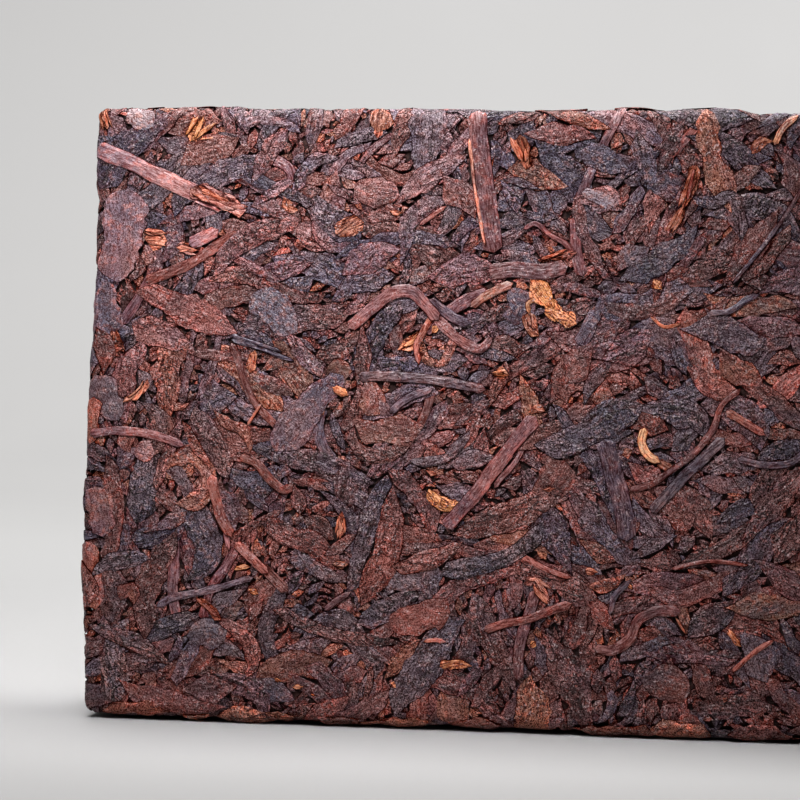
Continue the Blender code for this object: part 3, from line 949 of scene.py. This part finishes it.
    ("frayed", CREAM, GOLD, 1.6, 0.16, [(59.4, 51.6), (61.6, 51.6)]),
    ("tip", CREAM, GOLD, 1.3, 0.22, [(67.0, 35.2), (68.7, 35.4)]),
    ("tip", GOLD, TAN, 1.6, 0.14, [(50.5, 34.9), (51.8, 33.4), (53.4, 32.7), (55.1, 33)]),
    ("frayed", ORANGE, TAN, 2.0, 0.08, [(50.6, 34.6), (52.2, 34.0)]),
    ("frayed", CREAM, ORANGE, 1.5, 0.12, [(37.9, 31.2), (37.8, 29.4), (37.6, 27.4)]),
    ("tip", TAN, ORANGE, 1.4, 0.08, [(36.6, 23.6), (38.9, 23.6)]),
    ("tip", GOLD, CREAM, 0.7, 0.14, [(45.5, 6.7), (46.2, 6.1)]),
    ("tip", GOLD, CREAM, 0.8, 0.14, [(31.2, 5.6), (32.8, 5.7)]),
    ("tip", GOLD, TAN, 0.8, 0.10, [(28.5, 6.7), (29.4, 6.4)]),
    ("tip", GOLD, ORANGE, 0.5, 0.10, [(33.8, 4.7), (34.4, 4.5)]),
    ("frayed", TAN, ORANGE, 1.8, 0.06, [(63.6, 81.0), (63.2, 83.4), (62.6, 86)]),
    ("tip", ORANGE, GOLD, 0.9, 0.12, [(58.0, 80.2), (58.9, 82.6)]),
    ("frayed", ORANGE, RUST, 1.7, 0.18, [(87.9, 81.8), (87.1, 79), (86.0, 75.6)]),
    ("frayed", ORANGE, TAN, 1.3, 0.14, [(86.2, 76), (85.4, 73.8), (84.6, 72.2)]),
    ("tip", ORANGE, TAN, 2.4, 0.02, [(36.2, 71.2), (38, 72.2), (40.2, 73.2)]),
    ("tip", ORANGE, GOLD, 0.8, 0.06, [(44, 74.8), (45.8, 74.5)]),
    ("tip", ORANGE, TAN, 1.8, 0.02, [(28.4, 76.6), (29.2, 75), (30.6, 74.8)]),
    ("tip", ORANGE, RUST, 1.1, 0.20, [(64.6, 46.2), (65.8, 46.6), (67, 46.4)]),
    ("tip", TAN, ROSE, 1.4, 0.06, [(78.2, 40.4), (79.6, 41.2)]),
    ("tip", CREAM, GOLD, 0.7, 0.20, [(79.3, 22), (80, 21.4)]),
    ("frayed", ROSE, CREAM, 1.3, 0.16, [(64.5, 21.6), (65.8, 22), (67.0, 20.6), (68.2, 19.2)]),
    ("tip", GOLD, TAN, 1.5, 0.04, [(65.6, 12.6), (66.4, 13.4)]),
    ("tip", ORANGE, GOLD, 1.6, 0.04, [(95.6, 83.6), (97, 85.2), (98.6, 85.4)]),
    ("tip", ORANGE, RUST, 1.0, 0.10, [(93.2, 6.2), (93.8, 5.8)]),
    ("tip", ORANGE, CREAM, 1.1, 0.06, [(73.2, 23.9), (75, 23.6)]),
    ("tip", GOLD, TAN, 1.8, -0.04, [(82.2, 65.6), (83.2, 64.2)]),
    ("frayed", GOLD, TAN, 1.4, 0.00, [(24.4, 19.6), (25.8, 18.9)]),
    ("tip", GOLD, TAN, 1.0, 0.06, [(22.2, 22.4), (24.6, 22.9)]),
    ("tip", ORANGE, TAN, 1.3, 0.00, [(30.8, 19), (32.6, 19.6)]),
    ("tip", ORANGE, GOLD, 1.4, 0.00, [(52.6, 9.4), (55, 9.9), (57.2, 9.6)]),
]

# The front's larger leaves, which lie under the stems, from the top of the pile down.
HERO_LEAVES = [
    ("smooth", SLATE, MAUVE, 4.2, 0.10, [(27.8, 39.9), (30.6, 43.2), (33.9, 47.4), (37.6, 51)]),
    ("smooth", TAN, MAUVE, 3.0, 0.12, [(35.2, 51.2), (37, 51.8), (38.9, 51.6)]),
    ("rolled", MAUVE, ROSE, 3.2, 0.16, [(17.6, 65.2), (20, 68.2), (23.8, 71.1), (27.8, 72.6), (31, 73.4)]),
    ("rolled", MAUVE, ROSE, 1.7, 0.14, [(21.2, 68.0), (25, 65.9), (28.3, 64.5)]),
    ("smooth", BLUSH, STEEL, 6.4, 0.10, [(5.3, 77.6), (5.4, 72), (4.4, 66), (4.0, 63.9)]),
    ("flat", ROSE, RUST, 5.4, 0.06, [(6.6, 62.6), (12, 61.0), (17, 59.2), (22, 56.8)]),
    ("flat", ROSE, BLUSH, 4.4, 0.02, [(6.2, 58.2), (10, 57), (15.2, 55.4)]),
    ("smooth", STEEL, BLUSH, 4.6, 0.12, [(2.5, 64.0), (2.5, 60), (2.8, 56.2)]),
    ("smooth", UMBER, BLUSH, 5.4, 0.04, [(38.8, 78.6), (40.4, 78), (43, 77.4), (45.4, 77)]),
    ("smooth", STEEL, SLATE, 5.2, 0.12, [(24.0, 62.4), (27.4, 60.4), (30.8, 57.2)]),
    ("flat", BLUSH, TAN, 2.6, 0.08, [(28.4, 57.8), (31.4, 54.6), (34.4, 50.6)]),
    ("twisted", UMBER, ROSE, 2.5, 0.06, [(17.4, 64.2), (22, 65.2), (26.4, 63.8), (31, 62.2), (35, 62.8)]),
    ("smooth", BLUSH, SLATE, 3.2, 0.06, [(6.9, 38.9), (10.1, 38.9)]),
    ("twisted", MAUVE, TAN, 1.7, 0.16, [(10.4, 33.6), (11.3, 37.6), (12.9, 41.2), (13.8, 44.2)]),
    ("twisted", RUST, TAN, 1.6, 0.16, [(14.1, 43.8), (15.4, 41.4), (17, 39), (18.4, 37)]),
    ("rolled", TAN, BLUSH, 2.6, 0.20, [(11.2, 36.4), (13, 38.3), (15.6, 38.9), (17.7, 37.2), (18.1, 34.6), (16.6, 32.4), (13.4, 31.8)]),
    ("rolled", ROSE, RUST, 3.2, 0.10, [(63.2, 86.1), (67, 86.2), (70.6, 86.2), (73.6, 85.6)]),
    ("rolled", RUST, ORANGE, 2.0, 0.35, [(64.6, 90.4), (68, 89.4), (71.4, 88.1), (75.6, 86.9)]),
    ("rolled", SLATE, INK, 2.8, 0.16, [(52.4, 22.6), (56.6, 23.8), (61.6, 25.1), (65.4, 27.8), (67.2, 30.6)]),
    ("rolled", UMBER, RUST, 4.6, 0.06, [(54.2, 28.4), (58.4, 30.4), (63, 32), (67.4, 33.6), (70.6, 34)]),
    ("rolled", UMBER, ROSE, 3.1, 0.08, [(45.3, 23.6), (48.6, 24.2), (52, 25.2), (55.6, 27.4)]),
    ("rolled", INK, SLATE, 2.7, 0.10, [(38.8, 19.6), (40.5, 24.6), (41.7, 30), (44.4, 36.8)]),
    ("rolled", RUST, ROSE, 3.9, 0.02, [(40.9, 17.6), (43.4, 23), (45, 28.5), (45.2, 35.2)]),
    ("smooth", RUST, ROSE, 5.0, 0.06, [(45.0, 15.4), (48, 16.0), (51, 17.2), (54, 17.2)]),
    ("rolled", INK, SLATE, 2.5, 0.06, [(40.6, 16.0), (44.6, 17.8), (49.8, 20)]),
    ("twisted", SLATE, MAUVE, 2.4, 0.04, [(29.8, 24.6), (33, 23.6), (36, 22), (39.2, 21.2)]),
    ("rolled", UMBER, INK, 2.0, 0.04, [(35.4, 24.8), (38, 26.2), (40, 28)]),
    ("rolled", INK, SLATE, 4.2, 0.16, [(65.5, 41.6), (69.6, 41.8), (73.4, 43.6), (77, 46.2), (81, 47.6)]),
    ("twisted", INK, MAUVE, 2.0, 0.10, [(73.4, 41.2), (76.4, 42.8), (79.8, 44)]),
    ("rolled", INK, SLATE, 5.0, 0.10, [(79.6, 47.2), (84.4, 47.2), (88.6, 46), (90.4, 42.8)]),
    ("rolled", INK, SLATE, 3.0, 0.06, [(85.2, 41.2), (87, 43.2), (89.8, 44.6)]),
    ("rolled", INK, MAUVE, 2.7, 0.08, [(53.4, 38.6), (56.4, 39.2), (60.4, 39.6)]),
    ("twisted", SLATE, INK, 1.4, 0.16, [(47.6, 38.9), (50.4, 38.8), (53, 39.4), (54.6, 41.4), (56.2, 43.4)]),
    ("flat", UMBER, TAN, 4.2, 0.04, [(39.2, 44.8), (43, 43.4), (46.4, 43), (49.6, 44)]),
    ("flat", MAUVE, BLUSH, 5.2, 0.08, [(49.6, 65.4), (53.6, 66.3), (57, 66.6), (60.4, 66.4)]),
    ("flat", UMBER, MAUVE, 4.4, 0.00, [(51.6, 80), (54.6, 77), (56.4, 73.8)]),
    ("twisted", BLUSH, SLATE, 3.4, 0.08, [(44.8, 75.8), (47.8, 78.6), (51, 81), (55.2, 83.2)]),
    ("twisted", SLATE, MAUVE, 2.8, 0.12, [(45.7, 67), (46.6, 70.4), (47, 73.2), (49, 75.2), (52.6, 76.8)]),
    ("twisted", SLATE, UMBER, 1.3, 0.14, [(45.8, 63.4), (46.9, 66.6), (46.4, 69.8)]),
    ("rolled", MAUVE, BLUSH, 4.2, 0.08, [(37.2, 65.4), (40.2, 67.4), (43, 69.2), (45.9, 69.4)]),
    ("rolled", SLATE, MAUVE, 2.4, 0.10, [(35.8, 61.6), (37.6, 63.4), (38.4, 66)]),
    ("twisted", BLUSH, MAUVE, 2.9, 0.10, [(23.6, 78.6), (25.4, 81.8), (26.8, 84.4), (28.8, 86.4)]),
    ("twisted", BLUSH, MAUVE, 1.8, 0.12, [(24.2, 75.4), (27, 77.4), (30, 79)]),
    ("twisted", SLATE, BLUSH, 2.6, 0.10, [(29.6, 77), (31.4, 80.6), (34, 82), (36.6, 82.4)]),
    ("twisted", SLATE, BLUSH, 1.4, 0.10, [(22, 87), (25, 87.8), (28.4, 87.4), (30.6, 86)]),
    ("smooth", BLUSH, SLATE, 3.2, 0.08, [(5.0, 88.6), (7.0, 87.8), (8.9, 86.6)]),
    ("twisted", SLATE, INK, 2.0, 0.16, [(87.2, 77.5), (90.4, 76.8), (92.8, 77.5), (94, 75.4), (94.4, 71.2)]),
    ("flat", UMBER, ROSE, 4.4, 0.16, [(99.6, 75.8), (97.4, 72), (95.2, 69), (92.4, 66)]),
    ("rolled", UMBER, RUST, 2.4, 0.06, [(101.2, 73.6), (98.6, 69.4), (95.4, 65.6)]),
    ("rolled", INK, SLATE, 3.4, 0.04, [(92.8, 20.6), (94.2, 22.6), (96, 24.6)]),
    ("flat", RUST, ORANGE, 3.2, 0.08, [(72.2, 28.2), (74.6, 26.8), (77.6, 25.2)]),
    ("flat", RUST, ORANGE, 2.0, 0.08, [(73.6, 21.6), (76.6, 22), (79, 23.4)]),
    ("flat", RUST, ROSE, 3.0, 0.02, [(74, 19.4), (76, 17.6), (77.6, 15.4)]),
    ("twisted", SLATE, INK, 2.4, 0.10, [(79.8, 25.6), (83, 27.4), (86.2, 29.2)]),
    ("twisted", SLATE, RUST, 1.8, 0.08, [(78.2, 23.2), (81, 25)]),
    ("smooth", UMBER, INK, 3.4, 0.10, [(79.0, 30.8), (79.8, 28.6)]),
    ("flat", BLUSH, ROSE, 4.2, 0.06, [(70.4, 77), (73.4, 76.8), (77.4, 75.4)]),
    ("flat", SLATE, INK, 3.4, 0.04, [(71.2, 83.6), (74.6, 82.8), (78.4, 81)]),
    ("rolled", SLATE, INK, 2.4, 0.10, [(66.4, 83.2), (69, 84.5), (72, 84.6)]),
    ("flat", SLATE, BLUSH, 3.2, 0.04, [(60, 79.4), (61.6, 77), (62.4, 74.6)]),
    ("smooth", INK, SLATE, 2.6, 0.02, [(60.2, 83.4), (60.8, 81)]),
    ("twisted", INK, MAUVE, 1.6, 0.08, [(60.4, 79.6), (63, 79), (65.6, 78.2)]),
    ("smooth", SLATE, MAUVE, 3.6, 0.02, [(61.6, 64), (63.2, 61.8), (62.4, 58.6)]),
    ("twisted", TAN, MAUVE, 1.3, 0.18, [(49, 56.4), (49.8, 53.4), (51.8, 53), (53.2, 55.4), (54, 57.4)]),
    ("smooth", INK, MAUVE, 2.8, 0.04, [(43, 47.2), (44.6, 45.4)]),
    ("smooth", UMBER, TAN, 3.4, 0.04, [(41, 50), (42.2, 47.6), (41.2, 45.2)]),
    ("twisted", INK, SLATE, 1.5, 0.08, [(36, 45.6), (37, 42.6), (38.2, 40.2)]),
    ("rolled", UMBER, INK, 3.6, 0.06, [(15.8, 45.8), (17.4, 42.6), (19.4, 38.6), (21, 35.6)]),
    ("rolled", INK, UMBER, 3.8, 0.02, [(16.4, 44.6), (19, 46.6), (22.2, 47.6)]),
    ("twisted", SLATE, INK, 3.2, 0.06, [(1.2, 20.8), (3.4, 22.8), (6.4, 23.2), (9.6, 23.6)]),
    ("rolled", UMBER, SLATE, 3.0, 0.10, [(1.0, 13.8), (5, 12.4), (9.6, 10.2), (13, 8.2)]),
    ("flat", UMBER, MAUVE, 4.4, 0.04, [(14.6, 4.6), (18.4, 4.8), (23, 5.4)]),
    ("smooth", SLATE, UMBER, 5.0, 0.00, [(15.4, 12.4), (18.4, 13), (20.8, 11.6)]),
    ("flat", RUST, ORANGE, 3.4, -0.02, [(5.4, 17.4), (6.8, 19), (7.4, 16.8)]),
    ("smooth", ROSE, ORANGE, 3.4, 0.16, [(0.6, 25.8), (0.8, 22.8), (1.0, 19.4), (1.8, 16)]),
    ("smooth", BLUSH, TAN, 4.0, 0.08, [(1.6, 34.0), (2.2, 30.4), (2.6, 26.6)]),
    ("twisted", BLUSH, TAN, 2.2, 0.10, [(8.6, 27.4), (11.4, 28.6), (15, 30.6)]),
    ("smooth", ROSE, ORANGE, 2.0, 0.04, [(1.0, 47), (1.0, 43.6), (0.8, 40.2)]),
    ("smooth", SLATE, BLUSH, 4.8, 0.08, [(1.2, 50.2), (2.6, 46.8), (4.6, 43.8)]),
    ("flat", UMBER, MAUVE, 4.8, -0.02, [(24.4, 50.4), (27.4, 49.2), (30.4, 48)]),
    ("twisted", TAN, MAUVE, 2.4, 0.04, [(25.6, 51.4), (27.4, 52.8), (29.4, 54)]),
    ("flat", RUST, TAN, 3.6, 0.10, [(86.4, 1.2), (88.4, 2.6), (90.6, 2.2)]),
    ("flat", ORANGE, TAN, 2.4, 0.30, [(24, 0.3), (27.6, 0.6), (31.6, 1.3)]),
    ("flat", TAN, ORANGE, 1.6, 0.30, [(40.6, -0.2), (44.8, 0.2), (50.4, 1.0)]),
    ("flat", ORANGE, RUST, 2.0, 0.28, [(84.6, 0.4), (87.4, 1.6), (90.2, 1.0)]),
    ("flat", RUST, ORANGE, 2.2, 0.24, [(3, 1.0), (8, 1.8), (13, 1.4)]),
    ("flat", RUST, ORANGE, 1.8, 0.22, [(72, 1.0), (76, 0.6), (80, 0.8)]),
    ("flat", RUST, ROSE, 1.6, 0.22, [(94, 2.6), (98, 1.2), (103, 1.0)]),
    ("rolled", UMBER, ROSE, 2.2, 0.14, [(57.2, 3.6), (59.6, 7.4), (61.6, 10.4)]),
    ("rolled", MAUVE, BLUSH, 2.0, 0.10, [(55, 5), (57.4, 7.6), (59, 9.4)]),
    ("smooth", UMBER, INK, 6.4, -0.06, [(81.6, 8.6), (85, 8), (88.6, 7)]),
    ("flat", MAUVE, UMBER, 6.6, -0.02, [(75, 54), (78.6, 56), (82, 58.4)]),
    ("flat", UMBER, MAUVE, 5.0, -0.04, [(69.8, 50.6), (72, 53.6), (73.6, 56.4)]),
    ("smooth", SLATE, MAUVE, 2.0, 0.08, [(71.6, 56), (73, 58.4), (74.6, 61)]),
    ("twisted", SLATE, MAUVE, 1.7, 0.08, [(85, 57.4), (85.8, 55), (87, 52)]),
    ("flat", UMBER, TAN, 6.0, -0.06, [(91.8, 56), (94.4, 52.6), (98, 50.6)]),
    ("smooth", UMBER, RUST, 4.6, -0.04, [(65.4, 34), (68.4, 36.6), (70, 39.4)]),
    ("flat", ROSE, UMBER, 4.0, -0.04, [(79, 39.4), (81.4, 37.6), (84.4, 36.6)]),
]


# ---------------------------------------------------------------- the scene

SIDES = {
    "front": Side("front", (1, 0, 0), (0, 0, 1), 0.5, 0.3),
    "back": Side("back", (-1, 0, 0), (0, 0, 1), 1.25, 0.62),
    "top": Side("top", (1, 0, 0), (0, 1, 0), 0.85, 0.45),
    "bottom": Side("bottom", (1, 0, 0), (0, -1, 0), 1.4, 0.75),
    "right": Side("right", (0, 1, 0), (0, 0, 1), 0.9, 0.46),
    "left": Side("left", (0, -1, 0), (0, 0, 1), 0.7, 0.4),
}

# Each kind of piece: its style, its colours with their shares, and its lengths and widths.
STYLES = {
    "twisted": Style("rolled", 0.12, 2.8, 0.8, 0.24, 0.082, (0.6, 1.0), 0.045),
    "rolled": Style("rolled", 0.10, 2.3, 0.8, 0.24, 0.085, (0.7, 1.0), 0.045),
    "flat": Style("flat", 0.03, 2.0, 0.85, 0.34, 0.080, (0.5, 1.0), 0.04),
    "flake": Style("flat", 0.03, 1.9, 0.9, 0.38, 0.080, (0.5, 1.0), 0.04),
    "crumb": Style("flat", 0.04, 1.6, 0.9, 0.45, 0.070, (0.6, 1.0), 0.04),
    "stem": Style("stem", 0.16, 0.5, 0.4, 0.09, 0.045, (0.0, 0.3), 0.12),
    "tip": Style("flat", 0.03, 1.2, 0.6, 0.55, 0.110, (0.6, 1.0), 0.05),
    "smooth": Style("flat", 0.04, 0.9, 0.5, 0.34, 0.070, (0.25, 0.5), 0.04),
    "twig": Style("stem", 0.15, 1.0, 0.5, 0.16, 0.040, (0.0, 0.3), 0.10),
    "splinter": Style("rolled", 0.11, 1.8, 0.7, 0.24, 0.082, (0.2, 0.6), 0.08),
    "strand": Style("stem", 0.12, 1.4, 0.7, 0.30, 0.030, (0.0, 0.4), 0.05),
    "seed": Style("stem", 0.42, 1.0, 0.5, 0.04, 0.020, (0.0, 0.2), 0.20),
}

# The heap that takes each style's pieces.
HEAP_OF = {"smooth": "flat", "twig": "stem", "splinter": "stem", "strand": "tip", "seed": "tip"}

DARK = [(INK, 0.36), (SLATE, 0.26), (UMBER, 0.22), (MAUVE, 0.11), (RUST, 0.05)]
LEAFY = [(UMBER, 0.30), (MAUVE, 0.18), (SLATE, 0.20), (INK, 0.12), (RUST, 0.12), (ROSE, 0.04), (TAN, 0.04)]
CRUMBLY = [(UMBER, 0.34), (INK, 0.20), (RUST, 0.24), (MAUVE, 0.12), (TAN, 0.06), (ORANGE, 0.04)]
WOODY = [(ROSE, 0.05), (MAUVE, 0.38), (RUST, 0.10), (UMBER, 0.32), (SLATE, 0.15)]
GOLDEN = [(GOLD, 0.45), (ORANGE, 0.35), (CREAM, 0.20)]


# How much of a piece has to show between those above it, as a share, or it isn't laid.
LEAST_SHOWN = {"front_crumb": 0.08, "crumb": 0.17}


def choose(rng, colours):
    shares = np.array([share for _, share in colours])
    return colours[rng.choice(len(colours), p=shares / shares.sum())][0]


def scatter(bed, side, heap, style, count, length, width, colours, bend, lift, least):
    """Lays pieces about the side's open places. It stops early if nothing is open."""
    rng = bed.rng
    laid = 0
    for batch in range(0, count, 40):
        places = bed.cover.open_places(side)
        if len(places) < 3:
            return
        for _ in range(min(40, count - batch)):
            centre = places[rng.integers(len(places))]
            angle = 0.35 + 1.7 * float(noise2(centre[0] / 15.0, centre[1] / 15.0, SEED + 3))
            angle += rng.normal(0.0, 0.5)
            long = rng.uniform(*length)
            path = wandering_path(rng, centre, long, angle, rng.normal(0.0, bend), rng.normal(0.0, 0.5 * bend))
            wide = min(rng.uniform(*width), 0.75 * long)
            colour, other = choose(rng, colours), choose(rng, colours)
            laid += bed.lay(side, heap, style, path, wide, colour, other, rng.uniform(*lift), least)


def heap_for(heaps, side, kind):
    """The heap that takes a piece. The front's heaps are finer, so each kind has its own."""
    kind = HEAP_OF.get(kind, kind)
    if kind in ("stem", "tip"):
        return heaps[kind]
    if side.name == "front":
        return heaps["front_" + kind]
    region = "back_" if side.name == "back" else "rim_"
    return heaps[region + (kind if kind in ("flake", "crumb") else "leaf")]


def lay_strands(bed, heap, path, width, colour, other, raise_by):
    """A torn end: thin strands that lie side by side along a path, and part a little."""
    rng = bed.rng
    start, end = path[0], path[-1]
    along = (end - start) / np.linalg.norm(end - start)
    across = np.array([-along[1], along[0]])
    for _ in range(max(3, int(2.8 * width))):
        first, last = rng.uniform(0.0, 0.4), rng.uniform(0.65, 1.1)
        inner = path[int(first * len(path)): int(last * len(path))]
        if len(inner) < 6:
            continue
        aside, parting = rng.uniform(-0.42, 0.42) * width, rng.normal(0.0, 0.14)
        run = (inner - inner[0]) @ along
        strand = inner + np.outer(aside + parting * run, across)
        shade = rng.uniform(0.0, 1.0)
        mixed = tuple(shade * a + (1.0 - shade) * b for a, b in zip(colour, other))
        bed.lay(SIDES["front"], heap, STYLES["strand"], strand, rng.uniform(0.35, 0.85), mixed, other, raise_by, 0.03)
    bed.lay(SIDES["front"], heap, STYLES["tip"], path, 0.9 * width, colour, other, raise_by, 0.03)


def lay_heroes(bed, heaps, heroes):
    for kind, colour, other, width, lift, points in heroes:
        path = smooth_path(np.array(points, float) + (CORNER_U, CORNER_V))
        if kind == "frayed":
            lay_strands(bed, heaps["tip"], path, width, colour, other, 0.5 * lift + 0.03)
            continue
        heap = heap_for(heaps, SIDES["front"], kind)
        bed.lay(SIDES["front"], heap, STYLES[kind], path, width, colour, other, 0.5 * lift + 0.03, 0.03)


def main():
    rng = np.random.default_rng(SEED)
    bed = Bed(rng)
    heaps = {
        "front_twisted": Heap("front_twisted_leaves", "pressed_leaf"),
        "front_rolled": Heap("front_rolled_leaves", "pressed_leaf"),
        "front_flat": Heap("front_flat_leaves", "pressed_leaf"),
        "front_flake": Heap("front_leaf_flakes", "pressed_leaf"),
        "front_crumb": Heap("front_leaf_crumbs", "pressed_leaf"),
        "back_leaf": Heap("back_leaves", "pressed_leaf"),
        "back_flake": Heap("back_leaf_flakes", "pressed_leaf"),
        "back_crumb": Heap("back_leaf_crumbs", "pressed_leaf"),
        "rim_leaf": Heap("rim_leaves", "pressed_leaf"),
        "rim_flake": Heap("rim_leaf_flakes", "pressed_leaf"),
        "rim_crumb": Heap("rim_leaf_crumbs", "pressed_leaf"),
        "stem": Heap("stems", "stem"),
        "tip": Heap("golden_tips", "golden_tip"),
    }
    area = {name: 4.0 * side.half_u * side.half_v / 1000.0 for name, side in SIDES.items()}
    lay_heroes(bed, heaps, HEROES)
    lay_heroes(bed, heaps, HERO_LEAVES)
    # For each kind: how many for each 1000 square mm, lengths, widths, colours, bend, lift.
    rounds = [
        ("stem", 0.5, (7.0, 18.0), (0.8, 1.8), WOODY, 0.30, (0.02, 0.06)),
        ("tip", 0.15, (1.0, 3.2), (0.6, 1.4), GOLDEN, 0.40, (0.02, 0.06)),
        ("flat", 4.2, (8.0, 18.0), (2.6, 5.4), LEAFY, 0.30, (0.00, 0.04)),
        ("twisted", 3.0, (8.0, 20.0), (1.2, 2.6), DARK, 0.45, (0.00, 0.03)),
        ("rolled", 5.0, (8.0, 20.0), (2.2, 4.8), DARK, 0.45, (-0.01, 0.02)),
        ("flat", 5.6, (7.0, 16.0), (2.4, 4.8), LEAFY, 0.30, (-0.03, 0.00)),
        ("stem", 1.3, (5.0, 14.0), (0.8, 2.0), WOODY, 0.25, (-0.03, 0.01)),
        ("flake", 14.0, (4.0, 11.0), (1.5, 3.2), LEAFY, 0.35, (-0.05, -0.02)),
        ("twisted", 4.0, (6.0, 16.0), (1.0, 2.6), DARK, 0.45, (-0.06, -0.02)),
        ("flake", 28.0, (3.0, 9.0), (1.5, 3.6), LEAFY, 0.35, (-0.08, -0.04)),
        ("crumb", 110.0, (1.2, 3.6), (0.9, 2.2), CRUMBLY, 0.3, (-0.10, -0.02)),
        ("crumb", 130.0, (1.0, 2.6), (0.8, 1.6), CRUMBLY, 0.3, (-0.12, -0.04)),
    ]
    for kind, density, length, width, colours, bend, lift in rounds:
        for name, side in SIDES.items():
            count = int(density * area[name] + 0.5)
            heap = heap_for(heaps, side, kind)
            least = LEAST_SHOWN.get(name + "_" + kind, LEAST_SHOWN.get(kind, 0.12))
            scatter(bed, side, heap, STYLES[kind], count, length, width, colours, bend, lift, least)
    leaf = tea_material("pressed_leaf", 0.16, 0.8, 0.50, 0.00030, 0.30, 0.8)
    crumb = tea_material("leaf_crumb", 0.12, 0.9, 0.55, 0.00030, 0.20, 0.8)
    stem = tea_material("stem", 0.24, 0.6, 0.46, 0.00020, 0.65, 0.7)
    tip = tea_material("golden_tip", 0.30, 0.4, 0.55, 0.00030, 0.60, 0.1)
    looks = {"stem": stem, "tip": tip, "crumb": crumb}
    for kind, heap in heaps.items():
        build_heap(heap, looks.get(kind.split("_")[-1], leaf))
        print(heap.name, heap.triangles, "triangles,", len(heap.sheets), "pieces")
    core = core_mesh(bed.cover)
    core.shade_smooth()
    brick = add_piece("brick_core", core, core_material())
    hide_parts("tea_brick")
    for name, side in SIDES.items():
        part = bed.cover.face_cells(bed.cover.face_of(side))
        print(name, "covered", round(float((part < OPEN).mean()), 3))
    add_floor()
    add_lights()
    add_camera()
    bpy.context.scene.view_settings.view_transform = "Standard"


main()
